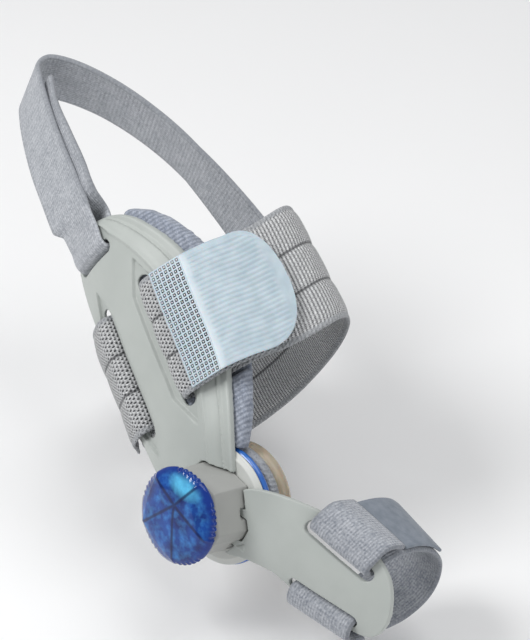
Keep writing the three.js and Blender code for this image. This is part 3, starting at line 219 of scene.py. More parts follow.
def spun(profile, steps=120):
    """A round shape about the knob's axis, spun from its profile of (radius, level) points."""
    shape = bmesh.new()
    verts = [shape.verts.new((radius, -level, 0)) for radius, level in profile]
    edges = [shape.edges.new(pair) for pair in zip(verts, verts[1:])]
    bmesh.ops.spin(shape, geom=verts + edges, cent=(0, 0, 0), axis=(0, 1, 0), angle=2 * math.pi,
                   steps=steps, use_merge=True)
    bmesh.ops.remove_doubles(shape, verts=shape.verts, dist=1e-4)
    return shape

# %% [markdown]
# ## Materials
# Every finish is made of nodes, because even plain plastic has faint flow marks and a fine grain. Pieces
# with a weave carry an attribute with their own millimetres: along, across and through. Two little classes
# keep the node wiring short enough to read: a recipe adds nodes, and a sum written with its wires becomes
# Math nodes.

# %% Node recipes
class Wire:
    """An output of a recipe's node. Sums written with wires become Math nodes."""

    def __init__(self, recipe, socket):
        self.recipe = recipe
        self.socket = socket

    def __add__(self, other):
        return self.recipe.maths("ADD", self, other)

    def __sub__(self, other):
        return self.recipe.maths("SUBTRACT", self, other)

    def __rsub__(self, other):
        return self.recipe.maths("SUBTRACT", other, self)

    def __mul__(self, other):
        return self.recipe.maths("MULTIPLY", self, other)

    def __truediv__(self, other):
        return self.recipe.maths("DIVIDE", self, other)

    def __abs__(self):
        return self.recipe.maths("ABSOLUTE", self)

    def clamped(self):
        self.socket.node.use_clamp = True
        return self

class Recipe:
    """A material whose nodes are added one call at a time."""

    def __init__(self, name, **shader):
        self.material = bpy.data.materials.new(name)
        self.material.use_nodes = True
        self.tree = self.material.node_tree
        self.shader = self.tree.nodes["Principled BSDF"]
        for key, setting in shader.items():
            self.shader.inputs[key.replace("_", " ")].default_value = setting

    def node(self, kind, **inputs):
        made = self.tree.nodes.new("ShaderNode" + kind)
        for key, source in inputs.items():
            self.feed(made.inputs[key.replace("_", " ")], source)
        return made

    def feed(self, socket, source):
        if isinstance(source, Wire):
            self.tree.links.new(source.socket, socket)
        else:
            socket.default_value = source

    def millimetres(self, attribute=None):
        """The piece's own attribute, or its Object coordinates, in millimetres."""
        if attribute:
            made = self.node("Attribute")
            made.attribute_name = attribute
            return Wire(self, made.outputs["Vector"])
        made = self.node("VectorMath")
        made.operation = "SCALE"
        self.feed(made.inputs[0], Wire(self, self.node("TexCoord").outputs["Object"]))
        made.inputs["Scale"].default_value = 1000
        return Wire(self, made.outputs[0])

    def split(self, vector):
        return [Wire(self, output) for output in self.node("SeparateXYZ", Vector=vector).outputs]

    def maths(self, operation, a, b=0.0):
        made = self.node("Math")
        made.operation = operation
        self.feed(made.inputs[0], a)
        self.feed(made.inputs[1], b)
        return Wire(self, made.outputs[0])

    def sine(self, source, pitch):
        """A wave from -1 to 1 that repeats every pitch millimetres."""
        return self.maths("SINE", source * (2 * math.pi / pitch))

    def ripple(self, source, pitch):
        """A wave from 0 to 1 that repeats every pitch millimetres."""
        return self.sine(source, pitch) * 0.5 + 0.5

    def noise(self, vector, scale, detail=4.0):
        return Wire(self, self.node("TexNoise", Vector=vector, Scale=scale, Detail=detail).outputs["Fac"])

    def blend(self, fac, first, second, low=0.0, high=1.0):
        """A colour that goes from the first to the second as fac goes from low to high."""
        ramp = self.node("ValToRGB", Fac=fac)
        for element, place, shade in zip(ramp.color_ramp.elements, (low, high), (first, second)):
            element.position = place
            element.color = (*shade, 1)
        return Wire(self, ramp.outputs["Color"])

    def fade(self, fac, first, second, low, high):
        """A share that goes from the first to the second as fac goes from low to high."""
        return self.blend(fac, (first,) * 3, (second,) * 3, low, high)

    def mixed(self, fac, first, second):
        """The first colour, and more of the second as fac goes to 1. The second may be three plain shares."""
        made = self.node("Mix")
        made.data_type = "RGBA"
        self.feed(made.inputs["Factor"], fac)
        self.feed(made.inputs[6], first)
        self.feed(made.inputs[7], second if isinstance(second, Wire) else (*second, 1))
        return Wire(self, made.outputs[2])

    def colour(self, source):
        self.feed(self.shader.inputs["Base Color"], source)

    def roughness(self, source, low, high):
        made = self.node("MapRange", Value=source, To_Min=low, To_Max=high)
        self.feed(self.shader.inputs["Roughness"], Wire(self, made.outputs["Result"]))

    def bump(self, height, millimetres, strength=1.0):
        made = self.node("Bump", Height=height, Strength=strength, Distance=millimetres / 1000)
        normal = self.shader.inputs["Normal"]
        if normal.links:
            self.tree.links.new(normal.links[0].from_socket, made.inputs["Normal"])
        self.tree.links.new(made.outputs["Normal"], normal)

    def paint(self, *pieces):
        for piece in pieces:
            piece.data.materials.clear()
            piece.data.materials.append(self.material)

def linear(red, green, blue):
    """An everyday 0 to 255 colour as the light values that shaders use."""
    return tuple(((c / 255 + 0.055) / 1.055) ** 2.4 for c in (red, green, blue))

# %% [markdown]
# ## The moulded plastics
# Most finishes here are two close tones in soft clouds, a roughness that wanders, and sometimes a fine
# grain. One function makes them all. The shell and the toe plate are a satin grey-green plastic, the
# housing is the same kind, a little darker, and the floor is pale and matt with the faintest mottling.

# %% Plastics
EVEN = (0.35, 0.65)

def mottled(name, first, second, cloud, tones=(0, 1), rough=None, grain=None, attribute=None, **shader):
    """Two tones in clouds: cloud (scale, detail), rough (scale, low, high), grain (scale, detail, depth)."""
    recipe = Recipe(name, **shader)
    mm = recipe.millimetres(attribute)
    recipe.colour(recipe.blend(recipe.noise(mm, *cloud), first, second, *tones))
    if rough:
        recipe.roughness(recipe.noise(mm, rough[0]), *rough[1:])
    if grain:
        recipe.bump(recipe.noise(mm, *grain[:2]), grain[2])
    return recipe

def satin_plastic(name, first, second):
    return mottled(name, first, second, (0.06, 3), EVEN, (0.9, 0.36, 0.5), (6, 2, 0.012), IOR=1.47)

shell_plastic = satin_plastic("shell plastic", linear(173, 178, 174), linear(179, 184, 180))
housing_plastic = satin_plastic("housing plastic", linear(155, 156, 153), linear(163, 164, 161))
disc_plastic = satin_plastic("disc plastic", linear(198, 200, 196), linear(205, 207, 203))
mottled("floor finish", (0.88, 0.88, 0.88), (0.9, 0.9, 0.9), (0.01, 4), Roughness=0.8).paint(floor)

# %% [markdown]
# ## The main shell
# A long saddle-shaped plate. Its edges and its crown change along its length, so a table holds them, and a
# flat grid is pushed onto the surface. Along the upper edge runs a flange with thin ridges. Two boat-shaped
# recesses, a little deeper than the face, hold the strap slots.

# %% Shell surface
SHELL = [
    (0, -0.3, 0.245, 1, 0.3), (0.06, -0.306, 0.31, 1, 0.32), (0.17, -0.324, 0.41, 0.98, 0.5),
    (0.27, -0.36, 0.47, 0.945, 0.75), (0.35, -0.395, 0.51, 0.905, 0.92), (0.45, -0.405, 0.535, 0.85, 1),
    (0.55, -0.405, 0.535, 0.79, 1), (0.65, -0.41, 0.515, 0.715, 1), (0.73, -0.44, 0.475, 0.645, 1),
    (0.81, -0.435, 0.41, 0.57, 0.98), (0.88, -0.4, 0.33, 0.5, 0.95), (0.94, -0.335, 0.235, 0.44, 0.92),
    (0.98, -0.24, 0.12, 0.4, 0.9), (1, -0.13, -0.01, 0.385, 0.9),
]
SHELL_LENGTH, SHELL_WIDTH, SHELL_FRONT, SHELL_WALL = 103, 54, -4.5, 2.4
SHELL_LEVEL, SHELL_CROWN, CROWN_LINE = 19.5, 8.2, 2
RIM_WIDTH, RIM_DROP = 10, 1.6
RECESS_DEPTH, RECESS_MARGIN, RECESS_POINT = 1.15, 3.0, 12.5
shell_low, shell_high = through(SHELL, 1), through(SHELL, 2)
shell_rise, shell_bend = through(SHELL, 3), through(SHELL, 4)
RIM = [(0, 1), (0.06, 0.92), (0.29, 0.98), (0.345, 0.34), (0.4, 0.8), (0.5, 0.6), (0.66, 0.22), (0.8, 0.02),
       (0.87, -0.28), (0.93, -0.3), (1, 0)]
SLOT_CENTRE, UPPER_SLOT, LOWER_SLOT, SLOT_WIDTH = -56, 10.6, -12.5, 5

def shell_share(u):
    return (SHELL_FRONT - u) / SHELL_LENGTH

def high_edge(u):
    return SHELL_WIDTH * shell_high(shell_share(u))

def low_edge(u):
    return SHELL_WIDTH * shell_low(shell_share(u))

def shell_face(u, v):
    """Level of the plain face over the pads' base."""
    share = shell_share(u)
    across = (v - CROWN_LINE) / (SHELL_WIDTH / 2)
    return SHELL_LEVEL * shell_rise(share) - SHELL_CROWN * shell_bend(share) * across * across

def rim_share(u, v):
    """0 at the upper edge, 1 where the flange meets the plain face."""
    rim = min(RIM_WIDTH, (high_edge(u) - low_edge(u)) * 0.3)
    return min((high_edge(u) - v) / rim, 1)

def rim_drop(share):
    for (a, low), (b, high) in zip(RIM, RIM[1:]):
        if share <= b:
            return low + (high - low) * max(share - a, 0) / (b - a)
    return 0

def recess(u, v):
    """Depth of the two boat-shaped recesses round the strap slots."""
    depth = 0
    for middle, half in ((UPPER_SLOT, 24), (LOWER_SLOT, 23.75)):
        past = (half + 7.5 - abs(u - SLOT_CENTRE)) / RECESS_POINT
        reach = (SLOT_WIDTH / 2 + RECESS_MARGIN) * min(max(past, 0), 1)
        inside = reach - abs(v - middle)
        lip = 0.16 * math.exp(-((inside + 0.35) / 0.3) ** 2) * soft_step(past, -0.05, 0.1)
        depth = max(depth, RECESS_DEPTH * soft_step(inside, -0.05, 0.6)) - lip
    return depth

def shell_outside(u, v):
    return shell_face(u, v) - RIM_DROP * rim_drop(rim_share(u, v)) - recess(u, v)

def shell_inside(u, v):
    return shell_face(u, v) - SHELL_WALL - RIM_DROP * min(max(0, 1 - rim_share(u, v)), 1.25)

# %% [markdown]
# ### Plate from a grid, with cuts
# All cuts go straight through the plate, so they are flat outlines. Each outline is a function that says
# how far a point is from it, negative inside. Grid points near an outline are pulled onto it, and the faces
# inside are deleted. Then one extrusion of the whole region closes the plate, whatever its outline is.

# %% Plate helper
def slot_cut(middle, length, width, turn=0.0):
    """Outline of a slot with round ends, turned about its middle."""
    def distance(x, z):
        x, z = x - middle[0], z - middle[1]
        along = x * math.cos(turn) + z * math.sin(turn)
        across = z * math.cos(turn) - x * math.sin(turn)
        return math.hypot(max(abs(along) - (length - width) / 2, 0), across) - width / 2
    return distance

HOUSING_RADIUS = 15.6
HOUSING = [(1.02, 0.06), (0.96, -0.19), (0.66, -0.64), (0.37, -0.91), (-0.3, -0.98),
           (-0.8, -0.6), (-0.95, 0.1), (-0.56, 0.78), (0.1, 0.89), (0.55, 0.82)]

def past_side(offset, way):
    """How far an offset lies to the outer side of a clockwise side."""
    return way.y * -offset.x + way.x * offset.y

def housing_cut(margin, turn=0.0):
    """The housing's many-sided outline, grown by a margin, in a frame turned from the splint's."""
    corners = [Vector((x * HOUSING_RADIUS, z * HOUSING_RADIUS)) for x, z in HOUSING]
    sides = [(a, (b - a).normalized()) for a, b in zip(corners, corners[1:] + corners[:1])]

    def distance(u, v):
        point = Vector((u * math.cos(turn) + v * math.sin(turn), v * math.cos(turn) - u * math.sin(turn)))
        return max(past_side(point - a, way) for a, way in sides) - margin
    return distance

def plate(columns, rows, lay_flat, outside, inside, cuts, near=0.45):
    """A closed plate over a grid laid flat, between an outer and an inner level, with cuts through it."""
    shape = bmesh.new()
    bmesh.ops.create_grid(shape, x_segments=columns, y_segments=rows, size=0.5)
    for vert in shape.verts:
        u, v = lay_flat(vert.co.x + 0.5, vert.co.y + 0.5)
        for cut in cuts:
            d = cut(u, v)
            if abs(d) < near:
                lean = Vector((cut(u + 0.01, v) - cut(u - 0.01, v), cut(u, v + 0.01) - cut(u, v - 0.01)))
                if lean.length > 1e-6:
                    u, v = u - lean.normalized().x * d, v - lean.normalized().y * d
        vert.co = (u, v, 0)
    inner = [f for f in shape.faces if min(cut(*f.calc_center_median().xy) for cut in cuts) < 0]
    bmesh.ops.delete(shape, geom=inner, context="FACES")
    largest_part(shape)
    lower = shape.verts[:]
    made = bmesh.ops.extrude_face_region(shape, geom=shape.faces[:])
    upper = [g for g in made["geom"] if isinstance(g, bmesh.types.BMVert)]
    for verts, level in ((lower, outside), (upper, inside)):
        for vert in verts:
            u, v = vert.co.x, vert.co.y
            vert.co = (u, -level(u, v), v)
    return shape

def settle(piece, matrix, faces, near=0.3):
    """Sets points that lie near one of the given faces exactly onto it, where the piece is smooth."""
    back_again = matrix.inverted()
    turn = back_again.to_3x3()
    lean = [abs((turn @ vert.normal).normalized().y) for vert in piece.data.vertices]
    points = [vert.co.copy() for vert in piece.data.vertices]
    moved = 0
    for i, point in enumerate(points):
        p = back_again @ point
        exact = [-level(p.x, p.z) for level in faces] if lean[i] > 0.8 else []
        close = [y for y in exact if abs(y - p.y) < near]
        if close:
            points[i] = matrix @ Vector((p.x, close[0], p.z))
            moved += 1
    piece.data.vertices.foreach_set("co", [c for point in points for c in point])
    piece.data.update()
    print(piece.name, "settled", moved, "points")

# %% [markdown]
# ### The shell's cuts
# Two strap slots, the heel slot, and room for the housing. After the remesh, points that still lie near the
# two faces are set back exactly onto them: that keeps the ridges crisp and leaves only the cut edges
# rounded.

# %% Shell
def shell_flat(s, t):
    u = SHELL_FRONT - SHELL_LENGTH * (1 - (1 - s) ** 1.2)
    return u, low_edge(u) + (high_edge(u) - low_edge(u)) * t

HEEL_PLACE, HEEL_UP = -97.1, -7.6
shell_cuts = [slot_cut((SLOT_CENTRE, UPPER_SLOT), 48, SLOT_WIDTH),
              slot_cut((SLOT_CENTRE, LOWER_SLOT), 47.5, SLOT_WIDTH),
              slot_cut((HEEL_PLACE, HEEL_UP), 21.6, 4.6, math.pi / 2), housing_cut(0.45, PITCH)]
shell_shape = plate(180, 100, shell_flat, shell_outside, shell_inside, shell_cuts)
main_shell = finish_piece(shell_shape, "shell", "brace", "main_shell", from_shell)
print("shell grid:", len(main_shell.data.vertices), "vertices")
round_off(main_shell, 0.36)
settle(main_shell, from_shell, (shell_outside, shell_inside))
shell_plastic.paint(main_shell)

# %% [markdown]
# ## The toe plate
# The same way of building, in the splint's frame: a shorter plate that narrows and bends down to its tip,
# with a slot near each edge. Two small ears reach under the housing, where a steel pin holds them.

# %% Toe plate
TOE = [
    (0, -0.42, 0.445, 1, 0.1), (0.06, -0.4, 0.53, 1, 0.15), (0.13, -0.345, 0.6, 1, 0.25),
    (0.22, -0.31, 0.655, 0.985, 0.45), (0.33, -0.31, 0.69, 0.935, 0.7), (0.42, -0.385, 0.69, 0.865, 0.9),
    (0.5, -0.46, 0.675, 0.79, 1), (0.6, -0.51, 0.63, 0.69, 1.05), (0.7, -0.54, 0.565, 0.575, 1.05),
    (0.8, -0.55, 0.485, 0.46, 1), (0.88, -0.525, 0.385, 0.365, 0.9), (0.94, -0.46, 0.26, 0.3, 0.8),
    (0.98, -0.34, 0.09, 0.255, 0.7), (1, -0.2, -0.08, 0.235, 0.7),
]
TOE_LENGTH, TOE_WIDTH, TOE_WALL, TOE_LEVEL, TOE_CROWN, TOE_REAR = 59.5, 27, 1.8, 18.8, 3.4, 9
toe_low, toe_high, toe_rise, toe_bend = (through(TOE, column) for column in (1, 2, 3, 4))

def toe_face(x, z):
    share = (x - TOE_REAR) / TOE_LENGTH
    middle = TOE_WIDTH * (toe_low(share) + toe_high(share)) / 2
    across = (z - middle) / (TOE_WIDTH / 2)
    return TOE_LEVEL * toe_rise(share) - TOE_CROWN * toe_bend(share) * across * across

def toe_inside(x, z):
    return toe_face(x, z) - TOE_WALL

def toe_flat(s, t):
    x = TOE_REAR + TOE_LENGTH * (1 - (1 - s) ** 1.2)
    share = (x - TOE_REAR) / TOE_LENGTH
    return x, TOE_WIDTH * (toe_low(share) + (toe_high(share) - toe_low(share)) * t)

def toe_slot(rear, front, width):
    """A slot between its rear and front ends, each (x, z)."""
    run, climb = front[0] - rear[0], front[1] - rear[1]
    return slot_cut(((front[0] + rear[0]) / 2, (front[1] + rear[1]) / 2), math.hypot(run, climb), width,
                    math.atan2(climb, run))

PIN_X, PIN_Y = 9.8, -19.9

def add_ear(shape, middle):
    """A flat web under the housing, with a barrel for the pin at its end."""
    web = Matrix.Translation((13.5, -17.9, middle)) @ Matrix.Diagonal((7.4, 1.7, 2.6, 1))
    bmesh.ops.create_cube(shape, size=1, matrix=web)
    profile = [(0.92, -1.3), (1.45, -1.3), (1.45, 1.3), (0.92, 1.3)]
    verts = [shape.verts.new((PIN_X, PIN_Y - radius, middle + z)) for radius, z in profile]
    edges = [shape.edges.new(pair) for pair in zip(verts, verts[1:] + verts[:1])]
    bmesh.ops.spin(shape, geom=verts + edges, cent=(PIN_X, PIN_Y, 0), axis=(0, 0, 1), angle=2 * math.pi,
                   steps=32, use_merge=True)

toe_cuts = [housing_cut(0.6), toe_slot((34.2, 13.9), (59.2, 6.4), 4.6),
            toe_slot((34.4, -7.9), (59, -10.9), 4.2)]
toe_shape = plate(130, 70, toe_flat, toe_face, toe_inside, toe_cuts, 0.35)
for side in (-1, 1):
    add_ear(toe_shape, side * 5.3)
toe_plate = finish_piece(toe_shape, "toe_splint_piece", "toe_plate", "toe_splint")
round_off(toe_plate, 0.27, 3)
settle(toe_plate, from_splint, (toe_face, toe_inside), 0.2)
shell_plastic.paint(toe_plate)

# %% [markdown]
# ## Gear housing and pin
# The housing is a many-sided block with chamfered edges. A merged copy of the CAD solid has its cavities in
# the right places, so it is remeshed and only softened at its edges. The steel pin keeps its CAD mesh.

# %% Housing
def merged_copy(node, name, body):
    """A copy of a CAD node's loose triangles, merged into one closed surface."""
    shape = bmesh.new()
    shape.from_mesh(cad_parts[node].data)
    bmesh.ops.remove_doubles(shape, verts=shape.verts, dist=1e-6)
    return finish_piece(shape, name, body, node, Matrix.Identity(4))

housing = merged_copy("gear_housing", "housing", "brace")
round_off(housing, 0.3, 3)
housing_plastic.paint(housing)

steel = mottled("pin steel", (0.36, 0.36, 0.37), (0.44, 0.44, 0.45), (3, 4), rough=(8, 0.25, 0.45),
                Metallic=1.0)
steel.paint(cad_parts["hinge_pin"])

# %% [markdown]
# ## The round pads
# Under the knob sits a stack: a clear gel pad, a knitted foam pad, a glossy blue ring and a pale disc with
# a ridge. Each one is a profile of (radius, level) spun about the knob's axis, and R is the stack's radius.

# %% Pads
R = 19.7
PADS = [
    ("gel_pad_piece", "gel", "gel_pad", [
        (0, 0), (R - 4, 0.05), (R - 2.4, 0.15), (R - 1.2, 0.7), (R - 0.4, 1.7), (R, 2.8), (R - 0.1, 3.9),
        (R - 0.5, 4.9), (R - 1.2, 5.6), (R - 2.2, 5.85), (0, 5.9)]),
    ("foam_pad_piece", "strap_knit", "fabric_pad", [
        (0, 6.2), (R - 2, 6.2), (R - 1, 6.35), (R - 0.3, 6.85), (R + 0.15, 7.6), (R + 0.2, 8.45),
        (R + 0.15, 9.3), (R - 0.3, 10.05), (R - 1, 10.55), (R - 2, 10.7), (0, 10.7)]),
    ("ring_piece", "ring_plastic", "blue_ring", [
        (0, 11), (R - 0.8, 11), (R - 0.15, 11.2), (R + 0.25, 11.7), (R + 0.35, 12.3), (R + 0.25, 12.9),
        (R - 0.15, 13.4), (R - 0.8, 13.6), (0, 13.6)]),
    ("disc_piece", "housing_plastic", "joint_disc", [
        (0, 13.9), (R - 0.3, 13.9), (R, 14.05), (R, 14.4), (R - 0.2, 14.6), (R - 1.5, 14.85), (R - 1.7, 15.2),
        (R - 2, 15.38), (R - 2.4, 15.4), (0, 15.4)]),
]
gel_pad, foam_pad, blue_ring, disc = (
    finish_piece(spun(profile), name, "brace", node) for name, slot, node, profile in PADS)
disc_plastic.paint(disc)
print("pads:", [piece.name for piece in (gel_pad, foam_pad, blue_ring, disc)])

# %% [markdown]
# ### Gel and blue plastic
# Gel lets light through and scatters it, so part of it is transmission. The ring is glossy, with a clear
# coat.

# %% Gel and ring finishes
mottled("gel", linear(226, 214, 192), linear(214, 200, 176), (0.2, 4), (0.3, 0.7), (1.5, 0.16, 0.3),
        Transmission_Weight=0.55, IOR=1.42, Subsurface_Weight=0.3, Subsurface_Scale=0.002).paint(gel_pad)
mottled("ring plastic", linear(24, 84, 168), linear(40, 104, 186), (0.15, 4), EVEN, (1.2, 0.2, 0.3),
        Coat_Weight=0.8, Coat_Roughness=0.08).paint(blue_ring)

# %% [markdown]
# ## The knob
# A clear blue gem with five facets and groups of grip ribs on its rim. Its profile is spun, then each point
# is moved by its angle: in to the pentagon near the top, and in again at each groove of the rim.

# %% Knob
KNOB_BASE, KNOB_RADIUS = 32.1, 16.1
STEM_RADIUS, STEM_LENGTH, STEM_MIDDLE = 4, 6.6, 28.8
FACETS, FACET_DEPTH = 5, 0.72
GROOVES, GROOVE_DEPTH, RIBBED_SHARE = 10, 0.45, 0.62
KNOB_PROFILE = [(0, 0), (12.5, 0), (13.6, 0.05), (14.6, 0.25), (15.5, 0.7), (16, 1.3), (KNOB_RADIUS, 2.0),
                (15.95, 2.7), (15.6, 3.4), (15.0, 4.0), (14.5, 4.35), (14.1, 4.55), (10, 5.0), (6, 5.42),
                (2.4, 5.74), (1.6, 5.8), (0, 5.8)]
shape = spun([(radius, KNOB_BASE + level) for radius, level in KNOB_PROFILE], 400)
for vert in shape.verts:
    radius = math.hypot(vert.co.x, vert.co.z)
    level = -vert.co.y - KNOB_BASE
    if radius < 0.5:
        continue
    fifth = (math.atan2(vert.co.z, vert.co.x) / (2 * math.pi) * FACETS) % 1
    from_corner = abs(((fifth + 0.5) % 1) - 0.5) * 2 * math.pi / FACETS
    pentagon = math.cos(math.pi / FACETS) / math.cos(math.pi / FACETS - from_corner)
    share = soft_step(level, 2.6, 4.5) * FACET_DEPTH
    target = radius * (1 - share * (1 - pentagon))
    if fifth < RIBBED_SHARE:
        groove = GROOVE_DEPTH * (0.5 - 0.5 * math.cos(fifth * 2 * math.pi * GROOVES))
        target -= groove * soft_step(level, 0.1, 0.8) * (1 - soft_step(level, 2.6, 3.6))
    vert.co.x *= target / radius
    vert.co.z *= target / radius
upright = Matrix.Rotation(math.pi / 2, 4, "X")
bmesh.ops.create_cone(shape, cap_ends=True, segments=48, radius1=STEM_RADIUS, radius2=STEM_RADIUS,
                      depth=STEM_LENGTH, matrix=Matrix.Translation((0, -STEM_MIDDLE, 0)) @ upright)
knob = finish_piece(shape, "knob_piece", "knob", "adjusting_knob")
print("knob is", round(2 * KNOB_RADIUS, 1), "mm wide")

# %% [markdown]
# ### Clear blue finish
# What makes it look like a gem is what is seen through it: dark lines from the middle to the five corners,
# paler facets between them, and a painted highlight: a bright cyan gleam painted into the colour where light
# would gather. The pattern is worked out from the Object coordinates turned into the knob's own plane,
# under a glossy coat.

# %% Knob finish
STAR_X, STAR_Z, STAR_REACH = -0.4, 4.5, 13
knob_blue = Recipe("knob blue", Coat_Weight=0.6, Coat_Roughness=0.03, IOR=1.45, Specular_IOR_Level=0.15)
turner = knob_blue.node("Mapping", Vector=knob_blue.millimetres(), Rotation=(LEAN, 0, 0))
in_plane = Wire(knob_blue, turner.outputs[0])
x, _, z = knob_blue.split(in_plane)
radius = knob_blue.maths("POWER", x * x + z * z, 0.5)
swirl = knob_blue.noise(in_plane, 0.14, 3.0)
fine_swirl = knob_blue.noise(in_plane, 0.42, 5.0)
body_blue = knob_blue.blend(fine_swirl, linear(8, 36, 104), linear(70, 150, 214), 0.44, 0.74)
deep_blue = knob_blue.blend(swirl, linear(6, 30, 96), linear(22, 88, 178), 0.36, 0.62)

star_x, star_z = x - STAR_X, z - STAR_Z
lines = 0.0
for corner in range(FACETS):
    angle = 2 * math.pi * corner / FACETS
    reach_x = STAR_REACH * math.cos(angle) - STAR_X
    reach_z = STAR_REACH * math.sin(angle) - STAR_Z
    way_x, way_z = reach_x / math.hypot(reach_x, reach_z), reach_z / math.hypot(reach_x, reach_z)
    off_line = abs(star_x * way_z - star_z * way_x)
    near_line = ((0.75 - off_line).clamped() * 2.0).clamped()
    ahead = knob_blue.maths("GREATER_THAN", star_x * way_x + star_z * way_z, 0.0)
    lines = knob_blue.maths("MAXIMUM", lines, near_line * ahead)

# Painted highlight: a bright cyan patch painted into the colour towards the top of the knob, where light
# gathers.
gleam_x, gleam_z = (x - 0.7) / 8.0, (z - 11.5) / 4.0
painted_highlight = ((1.0 - (gleam_x * gleam_x + gleam_z * gleam_z)).clamped() * (fine_swirl + 0.35)).clamped()
with_painted_highlight = knob_blue.mixed(painted_highlight, knob_blue.mixed(0.45, deep_blue, body_blue), linear(96, 196, 238))
starred = knob_blue.mixed(lines * 0.8, with_painted_highlight, linear(4, 18, 66))
near_rim = knob_blue.fade(radius / 16.0, 0, 0.85, 0.84, 0.95)
knob_blue.colour(knob_blue.mixed(near_rim, starred, linear(10, 46, 128)))
knob_blue.roughness(fine_swirl, 0.04, 0.1)
knob_blue.paint(knob)

# %% [markdown]
# ## Straps: a band along a route
# A strap is a flat band that follows a route. Each row of a route gives the band's middle, the direction of
# its width, its half width, its thickness, and how closely it hugs the surface under it. A smooth curve
# joins the middles, and stations are read off the curve at small steps.

# %% Band routes
def band_row(at, width, half, thick, hug=0.0, face=shell_face, reach=(-22, 30)):
    return {"at": Vector(at), "width": Vector(width).normalized(), "half": half, "thick": thick, "hug": hug,
            "face": face, "reach": reach}

def smooth_curve(points):
    """A curve through points that keeps its speed even where they stand close (centripetal Catmull-Rom)."""
    def at(t):
        place = (len(points) - 1) * t
        i = max(min(int(place), len(points) - 2), 0)
        w = place - i
        p1, p2 = points[i], points[i + 1]
        p0 = points[i - 1] if i else 2 * p1 - p2
        p3 = points[i + 2] if i + 2 < len(points) else 2 * p2 - p1
        d0, d1, d2 = ((b - a).length ** 0.5 for a, b in ((p0, p1), (p1, p2), (p2, p3)))
        go = ((p1 - p0) / d0 - (p2 - p0) / (d0 + d1) + (p2 - p1) / d1) * d1
        come = ((p2 - p1) / d1 - (p3 - p1) / (d1 + d2) + (p3 - p2) / d2) * d1
        return ((2 * w ** 3 - 3 * w ** 2 + 1) * p1 + (w ** 3 - 2 * w ** 2 + w) * go
                + (3 * w ** 2 - 2 * w ** 3) * p2 + (w ** 3 - w ** 2) * come)
    return at

def stations_along(rows, spacing):
    """Stations at small steps along the rows, with the distance walked so far."""
    curve = smooth_curve([row["at"] for row in rows])
    stations, walked, before = [], 0.0, None
    for i, (a, b) in enumerate(zip(rows, rows[1:])):
        count = max(2, round((b["at"] - a["at"]).length / spacing))
        for k in range(count + (i == len(rows) - 2)):
            share = k / count
            t = (i + share) / (len(rows) - 1)
            at = curve(t)
            along = (curve(min(t + 1e-4, 1)) - curve(max(t - 1e-4, 0))).normalized()
            walked += (at - before).length if before else 0.0
            before = at
            station = {key: a[key] + (b[key] - a[key]) * share for key in ("half", "thick", "hug")}
            stations.append({**station, "at": at, "along": along, "walked": walked, "face": a["face"],
                             "reach": a["reach"], "width": a["width"].lerp(b["width"], share).normalized()})
    return stations

def band_point(station, across, out):
    """A point of a band, across its width and out from its middle, hugging what it lies on."""
    normal = station["along"].cross(station["width"]).normalized()
    at = station["at"]
    point = at + station["width"] * (across * station["half"]) + normal * out
    z = min(max(at.z, station["reach"][0]), station["reach"][1])
    change = station["face"](point.x, z + point.z - at.z) - station["face"](at.x, z)
    point.y -= station["hug"] * change
    return point

def lifted(stations, lift):
    """The same stations, moved off their line to lie on top of another band."""
    return [{**s, "at": s["at"] + s["along"].cross(s["width"]).normalized() * lift} for s in stations]

def rounded(across, edge=0.05):
    """Thickness share near a band's long edges, so that they end round."""
    past = max(abs(across) - (1 - edge), 0) / edge
    return math.sqrt(max(1 - past * past, 0.05))

# %% [markdown]
# ### Band from a grid
# One grid is laid along the stations and extruded once for the thickness. Each point keeps its own
# millimetres along and across the cloth in an attribute, so that the weave follows the strap round its
# bends.

# %% Band helper
def band(stations, rows, thickness, name, body, node, matrix):
    """A closed band. thickness(station, across, side) is the half thickness on that side, in millimetres."""
    columns = len(stations) - 1
    shape = bmesh.new()
    bmesh.ops.create_grid(shape, x_segments=columns, y_segments=rows, size=0.5)
    weave = shape.verts.layers.float_vector.new("weave")
    lower = list(shape.verts)
    made = bmesh.ops.extrude_face_region(shape, geom=shape.faces[:])
    upper = [g for g in made["geom"] if isinstance(g, bmesh.types.BMVert)]
    for verts, side in ((lower, -1), (upper, 1)):
        for vert in verts:
            station = stations[round((vert.co.x + 0.5) * columns)]
            across = 2 * vert.co.y
            half = thickness(station, across, side) * rounded(across)
            vert[weave] = (station["walked"], across * station["half"], side)
            vert.co = band_point(station, across, side * half)
    return finish_piece(shape, name, body, node, matrix)

# %% [markdown]
# ## Instep strap
# A wide elastic strap. It is sewn round the bar of the lower slot, crosses inside, goes right round, comes
# up through the upper slot and folds back over itself. Lengthwise it has three puffed bands with creases
# between them and flat selvedges.

# %% Instep strap
STRAP_HALF, STRAP_THICK, OVER, TURN_RADIUS = 21.5, 2.8, 1.75, 3.15
RISE, DEPTH, REACH = 51, 50, 57
INSTEP = [
    (0.69, 0.026, 0.6, 0.8), (0.79, 0.079, 1.5, 0.6), (0.9, 0.167, 1.5, 0.4), (0.985, 0.272, 0.5, 0.2),
    (1, 0.36, -0.6, 0.1), (0.95, 0.49, -1.8, 0), (0.76, 0.67, -2, 0), (0.44, 0.835, -1.5, 0),
    (0, 0.965, -1, 0), (-0.36, 1, -0.5, 0), (-0.75, 0.92, 0, 0), (-0.99, 0.72, 0, 0),
    (-0.995, 0.474, 0, 0.1), (-0.86, 0.27, 0, 0.4), (-0.68, 0.088, 0, 0.7), (-0.51, -0.075, 0, 1),
]

def strap_row(v, level, hug, drift=0.0, thick=STRAP_THICK):
    return band_row((SLOT_CENTRE + drift, -level, v), (1, 0, 0), STRAP_HALF, thick, hug)

def face_at(v):
    return shell_face(SLOT_CENTRE, v)

